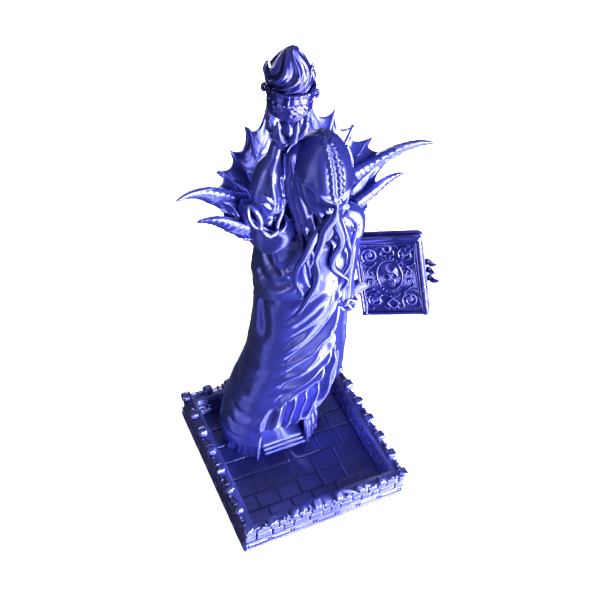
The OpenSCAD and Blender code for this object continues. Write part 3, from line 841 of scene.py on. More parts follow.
def tray_knobs():
    """Boulder-like studs, each a little different."""
    lo, hi = corners("tray_knobs")
    rng = np.random.default_rng(14)
    parts = []
    for turn in range(4):
        for k in range(TEETH):
            px, py = turned([(-45 + k * STEP, -45.0, 0)], turn)[0, :2]
            r = 2.75 + rng.uniform(-0.12, 0.15)
            seed = int(rng.integers(1, 9999))
            v, f = block((-r, -r, lo[2] - 0.8), (r, r, hi[2] + 0.05), (9, 9, 7), seed, 0.32, 2.6)
            v[:, :2] = np.clip(v[:, :2], -2.6, 2.6)
            parts.append((v + (px, py, 0), f))
    return join(parts)


make("tray_plinth", tray_base(), STONE, "tray", ["tray_base"])
make("tray_flags", flagstones(), STONE, "tray")
make("tray_masonry", tray_wall(), STONE, "tray", ["tray_wall"])
make("tray_studs", tray_knobs(), STONE, "tray", ["tray_knobs"])


# ---- collar and horns ----

RIM_TIPS = [(0, 40, 213), (9.5, 38.5, 211.5), (20.6, 34.2, 203.3), (29, 30.7, 195.7), (36.5, 26.1, 190.3),
            (44, 18.8, 184.8), (38.8, 15.6, 172), (30, 10.5, 163.6)]
RIM_DIPS = [(5, 39.5, 206), (14.1, 35.9, 199.9), (22.5, 31.4, 194.7), (28.8, 29.4, 188.4), (34.7, 23.5, 186.5),
            (36.6, 18.8, 174.2), (32.4, 14.0, 166.2)]
TIP_FOOT = [0, 17, 37, 52, 66, 78, 92, 105]
SPAN = 26                                    # rim points from one tip to the next


def collar_rim():
    """Rim points of the right half, from the back centre forward, and their foot angles."""
    pts, foot = [], []
    for k, dip in enumerate(RIM_DIPS):
        a, b, v = np.array(RIM_TIPS[k]), np.array(RIM_TIPS[k + 1]), np.array(dip, float)
        control = 2 * v - (a + b) / 2
        ts = np.linspace(0, 1, SPAN + 1)[:-1]
        for t in ts:
            pts.append((1 - t) ** 2 * a + 2 * t * (1 - t) * control + t * t * b)
            foot.append(TIP_FOOT[k] + (TIP_FOOT[k + 1] - TIP_FOOT[k]) * t)
    pts.append(np.array(RIM_TIPS[-1], float))
    foot.append(TIP_FOOT[-1])
    return np.array(pts), np.array(foot)


def vein_field(u, v, seed, cell_count):
    """Distance to the borders of irregular cells, used for veins in the membrane."""
    rng = np.random.default_rng(seed)
    cells = rng.uniform(0, 1, (cell_count, 2))
    d = np.full((2,) + u.shape, 9.0)
    for cu, cv in cells:
        r = np.hypot((u - cu) * 3.0, v - cv)
        d[1] = np.where(r < d[0], d[0], np.minimum(d[1], r))
        d[0] = np.minimum(d[0], r)
    return d[1] - d[0]


def collar():
    """Webbed fin behind the head: one sheet with veins, and a rib up to each of the tall tips."""
    rim, foot = collar_rim()
    rows = 56
    half_cols = len(rim)
    fa = np.radians(foot)
    base = np.stack([20.2 * np.sin(fa), 12 + 18.8 * np.cos(fa), np.full(half_cols, 162.6)], 1)
    outward = np.stack([np.sin(fa), np.cos(fa), 0 * fa], 1)
    height = (rim[:, 2] - base[:, 2])[:, None]
    control = base + outward * (1.5 + 0.10 * height) + np.array([0, 0, 0.52]) * height
    s = np.linspace(0, 1, rows)[:, None, None]
    half = (1 - s) ** 2 * base + 2 * s * (1 - s) * control + s * s * rim
    left = half[:, :0:-1].copy()
    left[:, :, 0] *= -1
    g = np.concatenate([left, half], 1)
    cols = g.shape[1]
    u = np.broadcast_to(np.linspace(0, 1, cols), (rows, cols))
    v = np.broadcast_to(np.linspace(0, 1, rows)[:, None], (rows, cols))
    vein = np.exp(-(vein_field(u, v, 6, 34) / 0.035) ** 2)
    index = np.arange(half_cols)
    rib = np.exp(-(((index % SPAN + SPAN // 2) % SPAN - SPAN // 2) / 1.4) ** 2)
    rib = np.concatenate([rib[:0:-1], rib])
    rib = rib[None, :] * (0.25 + 0.75 * v)
    body = 0.75 + 0.2 * fbm(np.stack([u.ravel() * 22, v.ravel() * 7, 0 * u.ravel()], 1), 4).reshape(u.shape)
    raise_ = 0.45 * rib - 0.42 * vein * smooth(v * 6) * smooth((1 - v) * 7)
    parts = [thicken(g, body + raise_, body + 0.8 * raise_)]
    for side in (-1, 1):
        for k in range(0 if side < 0 else 1, 5):
            path = half[22:, SPAN * k] * (side, 1, 1)
            radii = 0.85 * np.sin(math.pi * np.linspace(0.12, 1, len(path))) ** 0.7 + 0.22
            parts.append(sweep(path, radii, 10))
    return join(parts)


make("collar_fin", collar(), FIN, "tower", ["collar"])


def horn(root, path, r0, side, teeth):
    """Curved horn with cross ridges that bite into its lower edge."""
    p = spline(np.array(path, float) + np.array(root), 14)
    p[:, 0] *= side
    t = np.linspace(0, 1, len(p))
    taper = r0 * (1 - t) ** 0.72 + 0.2

    def relief(i, angle):
        wave = (t[i] * teeth) % 1.0
        step = 0.13 * (1 - wave) ** 2
        lower = 0.5 - 0.5 * np.sin(angle)
        return 1 + step * (0.3 + 1.4 * lower) - 0.03

    return sweep(p, taper, 24, relief, 1.9, (0.2 * side, -0.45, 0.85))


HORN_UP = [(-5, 1, -3.6), (0, 0, 0), (6, -2, 5), (12.6, -4.4, 9.8), (19.6, -7.2, 12.8), (25.3, -10.2, 13.7)]
HORN_LOW = [(-4, 0, -2.6), (0, 0, 0), (5, 0, 3.6), (9.8, 0.4, 6.2), (14.4, 0.7, 7.4), (18.2, 0.8, 7.5)]
HORNS = [("upper", (34.2, 21.3, 179), HORN_UP, 3.7, 13), ("lower", (31.2, 14.6, 167.6), HORN_LOW, 3.1, 10)]
for side, word in ((1, "left"), (-1, "right")):
    for level, root, path, radius, teeth in HORNS:
        node = "horn_" + level + "_" + word
        make(node + "_spine", horn(root, path, radius, side, teeth), FIN, "tower", [node])


# ---- head and tentacles ----

def tilt_x(v, degrees):
    """Points turned about the x axis."""
    c, s = math.cos(math.radians(degrees)), math.sin(math.radians(degrees))
    v = np.asarray(v, float)
    return np.stack([v[:, 0], v[:, 1] * c - v[:, 2] * s, v[:, 1] * s + v[:, 2] * c], 1)


HEAD_AT = (-1.6, -0.5, 199.6)
HEAD_TILT = -32


def head():
    """Long smooth skull with a crest, a brow and a narrow bridge: a plain creature mask."""
    rows, cols = 180, 300
    polar = np.linspace(0, math.pi, rows + 2)[1:-1]
    angle = np.arange(cols) * 2 * math.pi / cols
    po, an = np.meshgrid(polar, angle, indexing="ij")
    w = 1 - 0.12 * np.cos(po)
    r, half = 12.0, 18.4
    z = -half * np.cos(po)
    x = r * w * np.sin(po) * np.cos(an)
    y = r * w * np.sin(po) * np.sin(an)
    front = np.clip(-np.sin(an), 0, 1)
    up = z / half
    ease = smooth((up + 0.62) * 3.2)
    spread = 0.5 + 1.25 * ease
    jag = 0.34 * np.sin(z * 2.3) + 0.22 * np.sin(z * 5.3 + 1)
    twin = 0
    for sign in (-1, 1):
        off = np.sqrt((x - sign * spread - jag * (1 + 0.3 * sign)) ** 2 + 0.03)
        twin = twin + 0.85 * np.clip(1 - off / 1.35, 0, 1)
    twin = twin * smooth((up + 0.66) * 6) * front * (0.85 + 0.15 * np.sin(z * 4.1))
    crest = -0.25 * np.exp(-(x / 0.7) ** 2) * ease * front
    brow_z = -10.3 + 0.085 * x ** 2
    brow = 1.0 * np.exp(-((z - brow_z) / 0.9) ** 2) * smooth((front - 0.2) * 3)
    below = (-1.5 * smooth((brow_z - z) / 1.6) * smooth((front - 0.1) * 2)
             * (1 - 0.75 * np.exp(-(x / 1.6) ** 2)))
    temple = -0.7 * np.exp(-((np.abs(x) - 8.6) / 1.6) ** 2) * np.exp(-((z + 5) / 5.5) ** 2) * front
    lobe = 0.5 * np.exp(-((np.abs(x) - 5.2) / 3) ** 2) * np.exp(-((z - 3) / 8) ** 2) * front
    push = crest + twin + brow + below + temple + lobe
    nrm = np.stack([x / r ** 2, y / r ** 2, z / half ** 2], -1)
    nrm /= np.linalg.norm(nrm, axis=-1, keepdims=True)
    g = np.stack([x, y, z], -1) + nrm * push[..., None]
    verts, faces = capped(g, (0, 0, -half), (0, 0, half))
    parts = [(tilt_x(verts, HEAD_TILT) + HEAD_AT, faces)]
    parts.append(sweep(spline([(0, 1.5, 163), (0, 0.5, 176), (0, 0, 190)], 8), [6.2] * 8 + [5.4] * 9, 28))
    return join(parts)


def local_head(p):
    """A point in the head's own axes, moved to where the head is."""
    return tilt_x(np.array([p], float), HEAD_TILT)[0] + HEAD_AT


def face():
    """Sunken eyes under the brow, a narrow bridge and the fleshy root of the tentacles."""
    parts = []
    for side in (-1, 1):
        eye = local_head((side * 3.6, -8.4, -13.2))
        ball_path = np.array([eye + (0, 0.25, 0), eye - (0, 0.25, 0)])
        parts.append(sweep(ball_path, 0.95, 16))
        lid = [local_head((side * (3.6 + 1.7 * math.cos(a)), -9.1 - 0.35 * math.sin(a),
                           -13.1 + 1.15 * math.sin(a))) for a in np.linspace(0, 2 * math.pi, 17)]
        parts.append(sweep(np.array(lid), 0.32, 8))
    bridge = spline([local_head((0, -9.3, -9.5)), local_head((0, -8.0, -13.5)), local_head((0, -5.2, -16.8)),
                     np.array((-1.3, -12.2, 185.2))], 8)
    t = np.linspace(0, 1, len(bridge))
    parts.append(sweep(bridge, 0.9 + 0.5 * t, 14))
    muzzle = [(0, -3, 186), (0, -5.5, 180), (0, -5.5, 174), (0, -4, 169)]
    parts.append(limb(muzzle, 6, [0, 0.5, 1], [6.8, 5.0, 3.2], 24))
    return fuse(parts, 0.42, 3)


TENTACLES = [
    (2.4, 1.0, [(-1.3, -12.6, 189.4), (-1.8, -12.9, 186.8), (-3.6, -12.4, 183.4), (-4.3, -11.7, 180.4),
                (-4.2, -10.9, 175.4), (-4.5, -10.2, 169.6), (-5.5, -9.7, 162.5), (-3.2, -9.5, 153.8),
                (-3.3, -9.3, 145.9), (-6, -9.2, 138), (-9.1, -8.8, 130.5), (-12, -8.2, 126.2)]),
    (2.4, 1.0, [(-1.2, -12.6, 189.4), (-0.8, -12.9, 186.8), (1.2, -12.3, 182.4), (2.9, -11.6, 178.9),
                (5.2, -10.8, 172.7), (5.6, -10.2, 166.8), (3.4, -9.7, 160.8), (3.8, -9.6, 154.3),
                (8.6, -9.4, 147.9), (12.4, -9, 143.3), (12.2, -9.2, 139.3), (9.6, -9.8, 137.5)]),
    (2.0, 0.7, [(-2.9, -7, 180), (-7.8, -9.5, 173.6), (-10.9, -10.2, 166), (-13.6, -9.6, 158.9),
                (-13.3, -9, 150.6), (-9.9, -9.4, 142.4), (-10.4, -9.2, 139)]),
    (1.8, 0.7, [(5.3, -6, 178), (7.7, -8.4, 172.1), (10.1, -9, 165), (12.4, -8.6, 158.2), (12.4, -9, 151.4),
                (9.4, -10, 147)]),
]

HOOD_FOLDS = [
    ([(-7, 8, 213), (-12.6, 5.5, 208.5), (-12.6, 5, 203.3), (-11.6, 4, 196.2), (-10.2, 1, 189.2),
      (-8.6, -2, 182.5), (-6.6, -4.5, 175.2), (-5.4, -6.5, 167),
      (-6, -7.5, 160)], [0.8, 2.4, 3.2, 3.6, 3.6, 3.2, 2.6, 2.0, 0.6]),
    ([(-11.5, 6, 206), (-13.4, 4.6, 199.5), (-12.8, 3, 191.5), (-11.2, 0.5, 183.5), (-9.8, -1.5, 176),
      (-8.8, -3.5, 168), (-9.6, -5, 161)], [1, 2.4, 3.0, 3.0, 2.4, 1.8, 0.5]),
    ([(-10, 1.5, 186), (-9.6, -4.5, 177), (-7.8, -7.6, 170), (-9.2, -8.8, 162), (-7.4, -9.6, 155)],
     [1.2, 1.5, 1.3, 1.0, 0.3]),
    ([(-8.2, -3, 184), (-6.6, -8.0, 177), (-8.6, -9.4, 170), (-6.8, -9.8, 164), (-7.8, -9.8, 157)],
     [1.2, 1.4, 1.2, 0.9, 0.3]),
    ([(11.5, 6, 206), (13.0, 4.6, 199.5), (12.4, 3, 191.5), (10.8, 0.5, 183.5), (9.4, -1.5, 176)],
     [0.8, 1.8, 2.4, 2.2, 0.8]),
]


def tentacles():
    """Feelers that hang from the root of the face and curl over the chest."""
    parts = []
    for r0, r1, pts in TENTACLES:
        p = spline(pts, 9)
        t = np.linspace(0, 1, len(p))

        def relief(i, angle):
            return 1 + 0.16 * np.cos((angle - 1.57) / 2) ** 16 + 0.012 * math.sin(i * 1.7)

        parts.append(sweep(p, (r0 + (r1 - r0) * t ** 0.9) * (1 - 0.5 * smooth((t - 0.93) / 0.07)), 16, relief))
    return join(parts)


def hood_folds():
    """Cowl that hangs beside the head and breaks into shreds below the cheek; its dark tone is painted shade."""
    parts = [limb(pts, 9, np.linspace(0, 1, len(radii)), radii, 20) for pts, radii in HOOD_FOLDS]
    return fuse(parts, 0.45, 2)


# The cowl takes the darker copy of the filament: painted shade beside the head.
make("head_hood", hood_folds(), INNER_PAINTED_SHADE, "tower")
make("head_skull", head(), SKIN, "tower", ["head"])
make("face_mask", face(), SKIN, "tower")
make("face_feelers", tentacles(), SKIN, "tower", ["face_tentacles"])


# ---- right arm, brazier and flame ----

BAG_RIM = [(-180, 150), (-165, 138), (-150, 124), (-130, 116), (-117, 112), (-103, 106), (-80, 106), (-60, 112),
           (-40, 120), (0, 126), (35, 130), (70, 132), (110, 138), (150, 148), (180, 150)]


def sleeve_bag():
    """Wide sleeve that hangs open round the elbow, with a lip that falls to the front."""
    rows, cols = 70, 160
    centre = np.array((-18.6, 9.3, 169.3))
    long_way, short_way, turn = 11.5, 6.5, math.radians(-45)
    angle = np.linspace(-math.pi, math.pi, cols, endpoint=False)
    rim = np.radians(soften(lookup(np.degrees(angle), BAG_RIM)[0]))
    polar = rim * np.linspace(0.02, 1, rows)[:, None]
    an = np.broadcast_to(angle, polar.shape)
    depth = polar / math.pi
    ripple = 0.5 * np.sin(5 * an + 4 * depth) * depth + 0.35 * np.sin(9 * an - 7 * depth) * depth ** 2
    ring = 0.55 * np.exp(-((polar - rim) / 0.09) ** 2)
    r = 1 + (ripple + ring) / 10
    z = -15.0 * np.cos(polar)
    reach = r / np.hypot(np.cos(an - turn) / long_way, np.sin(an - turn) / short_way)
    x = reach * np.sin(polar) * np.cos(an) - 0.55 * z * smooth(z / 6 + 0.5)
    y = reach * np.sin(polar) * np.sin(an)
    g = np.stack([x, y, z], -1) + centre
    g = np.concatenate([g, g[:, :1]], 1)
    return thicken(g, np.full(g.shape[:2], 0.55), np.full(g.shape[:2], 0.55))


ELBOW_CREASES = [
    ([(-21.8, 4.5, 200.4), (-21.8, 3.2, 194.4), (-20.9, 2.8, 188.4), (-21.6, 4.0, 180.7)], 0.9),
    ([(-26.4, 5.0, 192.0), (-24.3, 3.4, 190.7), (-20.7, 2.8, 187.6), (-15.5, 4.6, 187.9)], 0.8),
    ([(-20.4, 2.6, 187.2), (-21.5, 3.0, 184.1), (-26.0, 4.2, 187.9)], 0.8),
    ([(-16.2, 6.2, 197), (-15.4, 5.4, 190), (-15.6, 4.2, 184), (-17.6, 3.4, 179)], 0.8),
]
LIP_STROKES = [
    ([(-15.0, 5.6, 187.0), (-15.9, 4.0, 181.7), (-18.7, 2.4, 175.1), (-18.2, 1.2, 172.7), (-14.6, 2.2, 173.9),
      (-9.6, 5.2, 174.0)], 0.75),
    ([(-26.9, 2.4, 176.5), (-25.6, 0.9, 174.3), (-23.5, 0.0, 172.6), (-21.0, -0.3, 173.3),
      (-19.0, 0.2, 174.1)], 0.9),
]


def arm_sleeve():
    """Close sleeve from the wrist to the rounded elbow, with creases that gather at the elbow."""
    path = spline([(-15.6, 13.6, 208), (-17, 13, 202.5), (-19.4, 12, 197), (-20.6, 10.8, 189.5),
                   (-20.4, 9.8, 183), (-19.8, 9.2, 178.4)], 12)
    t = np.linspace(0, 1, len(path))
    radii = np.interp(t, [0, 0.16, 0.36, 0.62, 0.82, 0.93, 1], [3.3, 3.5, 5.9, 7.2, 7.0, 5.6, 3.6])

    def relief(i, angle):
        s = t[i]
        lines = np.sin(4 * angle + 5 * s) * 0.03 + np.sin(7 * angle - 9 * s + 1) * 0.025 * s
        return 1 + lines * (0.4 + s)

    arm = sweep(path, radii, 40, relief)
    upper = sweep(spline([(-12, 13, 158), (-17, 12, 165), (-20.2, 10.5, 174)], 8),
                  [8, 8] + [7.4] * 13 + [6.8, 6.2], 28)
    creases = [crease(pts, 8, 0.3, height, (0.05, 0.98), 10) for pts, height in ELBOW_CREASES]
    return fuse([arm, upper] + creases, 0.5, 2)


def sleeve_lip():
    """Turned edge of the sleeve: a loop at the side and two fine strokes along the lip."""
    loop = spline([(-30.4, 6.4, 185.6), (-28.4, 4.4, 184.2), (-26.6, 3.2, 180.0), (-26.8, 2.4, 176.4),
                   (-29.2, 3.0, 177.2), (-31.0, 4.6, 181.2)], 9, True)
    loop = np.concatenate([loop, loop[:1]])
    turn = np.linspace(0, 2 * math.pi, len(loop))
    parts = [sweep(loop, 1.05 + 0.25 * np.cos(turn - 2), 12)]
    parts += [crease(pts, 9, 0.25, height, (0.06, 0.96), 12, 0.6) for pts, height in LIP_STROKES]
    return fuse(parts, 0.34, 2)


# Azimuth, sideways lean, start, height of the tip and thickness of each finger.
FINGERS = [(196, 14, 0.0, 1.2, 1.0), (232, -16, 0.6, 2.2, 0.8), (266, 6, 1.0, 2.6, 1.05),
           (312, 24, 0.6, 0.6, 0.85), (150, 0, -0.6, 2.0, 1), (20, 0, 0, 1.2, 1)]


def hand_right():
    """Wrist, palm and six clawed fingers that hold the bowl from below."""
    lo, hi = corners("brazier_bowl")
    cx, cy, z = (lo[0] + hi[0]) / 2, (lo[1] + hi[1]) / 2, lo[2]
    parts = [sweep(spline([(-17.5, 13.8, 190), (-15.5, 14.5, 199), (-14.6, 13.8, 206), (-14.2, 12.8, 211)], 8),
                   [3.5] * 8 + [3.1] * 8 + [3.3, 3.4, 3.6, 3.8, 4, 4.1, 4.2, 4.2, 4.3], 24)]
    heel = np.array([(-14.2, 12.6, 211.5), (-14.1, 12.2, 214), (-14, 11.6, 217.5)])
    parts.append(sweep(heel, [4.2, 4.7, 3.9], 24))
    for a, lean, start, tall, thick in FINGERS:
        spots = [(2.6, 0, -10.5 + start), (6.0, 0.3, -7.6), (7.6, 0.7, -3.6), (7.3, 1.1, tall - 2.2),
                 (8.0, 1.0, tall)]
        p = []
        for out, share, up in spots:
            way = math.radians(a + lean * share)
            p.append((cx + out * math.cos(way), cy + out * math.sin(way) + max(0, 1 - out / 4), z + up))
        p = spline(p, 7)
        t = np.linspace(0, 1, len(p))
        knuckle = 0.34 * np.exp(-((t - 0.36) / 0.07) ** 2) + 0.3 * np.exp(-((t - 0.66) / 0.06) ** 2)
        parts.append(sweep(p, thick * (np.interp(t, [0, 0.5, 0.75, 1], [1.7, 1.1, 1.2, 0.3]) + knuckle), 14))
    return fuse(parts, 0.38, 2)


def brazier():
    """Bowl with a relief band, a beaded neck, a moulded rim and four side curls."""
    lo, hi = corners("brazier_bowl")
    centre = ((lo[0] + hi[0]) / 2, (lo[1] + hi[1]) / 2, lo[2])
    top = hi[2] - lo[2]
    flame_low = corners("flame")[0][2] - lo[2]
    prof = [(0, 0), (3.0, 0.05), (4.2, 0.4), (5.4, 1.1), (6.4, 1.9), (7.2, 2.8), (7.9, 3.9), (8.4, 5.0), (8.75, 6.2),
            (8.85, 7.4), (8.7, 8.4), (8.35, 9.3), (8.15, 9.9), (8.3, 10.3), (8.9, 10.6), (9.35, 11.0),
            (9.55, 11.6),
            (9.45, 12.2), (9.15, 12.6), (9.1, 13.2), (9.35, 13.8), (9.58, 14.3), (9.55, 14.8), (9.2, 15.0),
            (8.6, 14.95),
            (8.2, 14.5), (8.05, 13.4), (8.0, 12.1), (6.5, 11.95),
            (5.2, 11.9), (5.15, 11), (5.12, flame_low + 0.1), (0, flame_low - 0.1)]

    def relief(radius, z, angle):
        band = smooth((z - 4.6) / 1.0) * smooth((9.6 - z) / 0.8) * (radius > 7)
        weave = np.abs(np.sin(11 * angle + 2.2 * math.sin(z * 2.1))) ** 1.6
        scroll = (np.sin(23 * angle + 5 * z) + 0.7 * np.sin(41 * angle - 7 * z + 1)
                  + 0.6 * np.sin(17 * angle + 3 * z))
        leaf = 0.045 * band * weave + 0.02 * band * scroll - 0.02 * band
        notch = 0.012 * np.sin(26 * angle) * smooth((z - 12.9) / 0.5) * (radius > 8.5)
        low = 0.02 * np.sin(14 * angle) * smooth((z - 1) / 1.5) * smooth((4.4 - z) / 1) * (radius > 4)
        return 1 + leaf + notch + low

    prof_fine = [prof[0]]
    for a, b in zip(prof[1:-1], prof[2:-1]):
        for t in (0, 0.5):
            prof_fine.append((a[0] + (b[0] - a[0]) * t, a[1] + (b[1] - a[1]) * t))
    prof_fine += [prof[-2], prof[-1]]
    parts = [lathe(prof_fine, centre, 220, relief)]
    for k in range(22):
        a = 2 * math.pi * k / 22
        p = np.array(centre) + (8.5 * math.cos(a), 8.5 * math.sin(a), 9.75)
        d = np.array((0, 0, 0.25))
        parts.append(sweep(np.array([p - d, p + d]), 0.42, 8))
    for a in (150, 330, 240, 60):
        c, s = math.cos(math.radians(a)), math.sin(math.radians(a))
        r = 9.9 if a in (150, 330) else 9.4
        curl = []
        for q in np.linspace(0, 1.55 * math.pi, 18):
            w = 1.55 * (1 - 0.42 * q / 5)
            reach = r + w * math.sin(q) * 0.55
            curl.append((centre[0] + c * reach, centre[1] + s * reach, centre[2] + top - 3.0 - w * math.cos(q)))
        parts.append(sweep(np.array(curl), np.linspace(0.8, 0.5, 18), 12))
    return join(parts)


def flame():
    """Flame of twisting ridges with side tongues, on a round plug that fits the bowl."""
    lo, hi = corners("flame")
    bowl_lo, bowl_hi = corners("brazier_bowl")
    cx, cy = (bowl_lo[0] + bowl_hi[0]) / 2, (bowl_lo[1] + bowl_hi[1]) / 2
    base = bowl_hi[2] - 2.9
    tall = hi[2] - base - 0.3
    rows, cols = 110, 200
    t = np.linspace(0, 1, rows)[:, None]
    angle = np.linspace(0, 2 * math.pi, cols, endpoint=False)[None, :]
    radius = np.interp(t, [0, 0.08, 0.2, 0.32, 0.42, 0.55, 0.7, 0.84, 0.94, 1],
                       [7.2, 7.5, 7.9, 8.4, 8.3, 7.5, 5.9, 3.9, 2.2, 0.3])
    swirl = 1.15 * np.sin(math.pi * (t * 1.15 - 0.15)) + 0.8 * t
    phase = 8 * (angle - swirl)
    crest = (0.5 + 0.5 * np.cos(phase)) ** 1.4
    second = (0.5 + 0.5 * np.cos(13 * (angle - swirl * 0.9) + 1.3)) ** 2
    body = radius * (0.86 + 0.17 * crest * smooth(t / 0.12) + 0.05 * second)
    lean_x = -0.9 * np.sin(math.pi * t) + 0.4 * t
    lean_y = 1.3 * t ** 2
    x = cx + lean_x + body * np.cos(angle)
    y = cy + lean_y + body * np.sin(angle)
    z = base + tall * t + 0 * angle
    g = np.stack([x, y, z], -1)
    parts = [capped(g, (cx, cy, base), (cx + 0.6, cy + 1.3, hi[2] - 0.15))]
    low = lo[2] - base
    plug = [(0, low), (4.7, low), (4.95, low + 0.3), (4.95, -0.4), (4.95, 0.3), (0, 0.35)]
    parts.append(lathe(plug, (cx, cy, base), 72))
    tongues = [
        ([(-6.2, 3.0, 2), (-7.6, 4.0, 5.4), (-8.6, 4.6, 8.2), (-8.2, 4.5, 11.2)], 2.4),
        ([(6.2, -2.2, 3), (7.2, -2.8, 6.2), (6.6, -2.6, 9), (6.9, -2.5, 11.4)], 1.7),
        ([(4.6, -4.2, 6), (5.6, -4.2, 8.6), (5.9, -3.9, 10), (6.8, -4.2, 11.2)], 1.1),
        ([(3.4, 6.2, 3), (3.9, 7.1, 6.6), (3.2, 6.9, 9.6), (3.5, 7, 12)], 1.8),
        ([(-3.4, 6.6, 4), (-3.8, 7.2, 7.4), (-2.8, 6.6, 10.4), (-3, 6.4, 12.6)], 1.5),
    ]
    for pts, r in tongues:
        p = spline(np.array(pts) + (cx, cy, base), 8)
        d = np.linspace(0, 1, len(p))
        parts.append(sweep(p, r * (1 - d) ** 0.75 + 0.15, 16, lambda i, ang: 1 + 0.10 * np.cos(3 * ang + i * 0.2)))
    return join(parts)


make("sleeve_bag", sleeve_bag(), CLOTH, "tower", ["right_sleeve"])
make("sleeve_inner", arm_sleeve(), CLOTH, "tower")
make("sleeve_lip", sleeve_lip(), CLOTH, "tower")
make("hand_brazier", hand_right(), SKIN, "tower", ["right_forearm"])
make("brazier_cup", brazier(), ORNAMENT, "tower", ["brazier_bowl"])
make("flame_swirl", flame(), ORNAMENT, "flame", ["flame"])


# ---- left arm and book ----

def sleeve_left():
    """Broad sleeve from the shoulder to a gathered cuff beside the book."""
    core = spline([(15, 10, 163), (17.4, 7.4, 156), (17.6, 5.4, 146), (17.2, 2.6, 134), (18.4, 0.2, 121)], 12)
    t = np.linspace(0, 1, len(core))

    def relief(i, angle):
        s = t[i]
        return 1 + 0.05 * np.sin(5 * angle + 4 * s) + 0.04 * np.sin(9 * angle - 3 * s) * (0.4 + s)

    parts = [sweep(core, np.interp(t, [0, 0.25, 0.6, 1], [8.4, 8.0, 6.6, 5.0]), 44, relief)]
    shoulder = [(9, 9, 163.5), (14, 8.4, 166), (18.4, 7.4, 167.5), (21, 6.4, 164), (20.6, 5.4, 158)]
    parts.append(limb(shoulder, 8, [0, 0.6, 1], [4, 5.2, 5.6], 24))
    for pts, height in (([(19.5, -0.4, 166), (17.4, -1.6, 156), (15.4, -2.2, 146), (14.4, -3, 134)], 0.9),
                        ([(24.6, 6, 160), (23.6, 4.4, 150), (22.4, 1.6, 140), (21, -0.6, 130)], 1.2)):
        parts.append(crease(pts, 8, 0.2, height, (0.08, 0.97), 12, 0.6))
    body = fuse(parts, 0.55, 3)
    cuff = []
    for k, (r, z0, lift) in enumerate(((5.9, 121.5, 1.4), (6.5, 119.6, 1.7), (5.6, 117.6, 1.2))):
        ang = np.linspace(0, 2 * math.pi, 90, endpoint=False)
        wob = r + 0.9 * np.sin(5 * ang + k * 1.3) + 0.4 * np.sin(9 * ang + k)
        ring = np.stack([19.2 + 0.85 * wob * np.cos(ang), -0.8 + 0.7 * wob * np.sin(ang),
                         z0 + lift * np.sin(3 * ang + k * 2) + 0.5 * np.cos(7 * ang)], 1)
        cuff.append(sweep(np.concatenate([ring, ring[:1]]), 1.15 - 0.12 * k, 12))
    return join([body] + cuff)


TURN = np.array(Euler([math.radians(a) for a in (-13.3, -17.5, -36.7)]).to_matrix())
pages_co = np.array([v.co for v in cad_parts["book_pages"].data.vertices]) / MM
BOOK_AT = pages_co.mean(0) if len(pages_co) < 30 else (pages_co.min(0) + pages_co.max(0)) / 2
BOOK_W, BOOK_H = 32.4, 42.0
COVER_BACK = -1.72                           # inner face of the front cover


def on_book(mesh):
    """A mesh in the book's own axes, moved to where the book is held."""
    verts, faces = mesh
    return np.asarray(verts) @ TURN.T + BOOK_AT, faces


def spiral(cx, cz, r0, r1, start, turns, n=30):
    """Flat spiral between two radii round a centre."""
    a = np.linspace(0, 1, n)
    ang = math.radians(start) + a * turns * 2 * math.pi
    r = r0 + (r1 - r0) * a ** 0.8
    return np.stack([cx + r * np.cos(ang), cz + r * np.sin(ang)], 1)


def emboss(x, z, line, height, width):
    """Rounded ridge of that height and width along a line in the cover's plane."""
    out = np.zeros(x.shape)
    line = np.asarray(line, float)
    near = close_by(line, x, z, 3 * width)
    best, _ = nearest(line, x[near], z[near])
    out[near] = height * np.sqrt(np.clip(1 - (best / (1.25 * width)) ** 2, 0, 1))
    return out


COVER_MID = -0.5                             # middle line of the cover's ornament
# Strokes round a corner rosette (points, height, width), mirrored into all four corners.
CORNER_STROKES = [
    ([(1.5, 4.6), (4.2, 4.4), (4.6, 1.5), (4.0, -2)], 1.1, 0.42),
    ([(-3.4, 3.6), (-5.6, 4.8), (-6.6, 3.0), (-5.2, 1.9)], 1.1, 0.45),
    ([(-2.6, -3.4), (-1.0, -5.4), (1.8, -5.8), (3.6, -4.6)], 1.15, 0.45),
]
# Strokes of one half (points, curve steps, height, width), mirrored about the middle line.
SIDE_STROKES = [
    ([(8.4, 5.4), (10.4, 3.2), (9.4, 0.8), (7.9, 1.6), (8.6, 3)], 6, 1.2, 0.42),
    ([(8.4, -6.4), (10.8, -4.2), (10.2, -1.6), (8.4, -2), (8.8, -3.6)], 6, 1.2, 0.42),
    ([(12.6, -15), (12.6, 15)], 1, 0.8, 0.35),
    ([(0, 16.6), (1.6, 15.6), (1.2, 13.8), (0, 13.0)], 5, 1.4, 0.5),
    ([(0, 12.8), (2.6, 13.6), (3.0, 11.8), (1.0, 11.2)], 5, 1.3, 0.45),
    ([(0, -11.6), (2.6, -14.4), (0, -17.4)], 5, 1.3, 0.5),
    ([(3.6, -9.4), (2.2, -10.6), (0.6, -10.4)], 5, 1.2, 0.5),
]


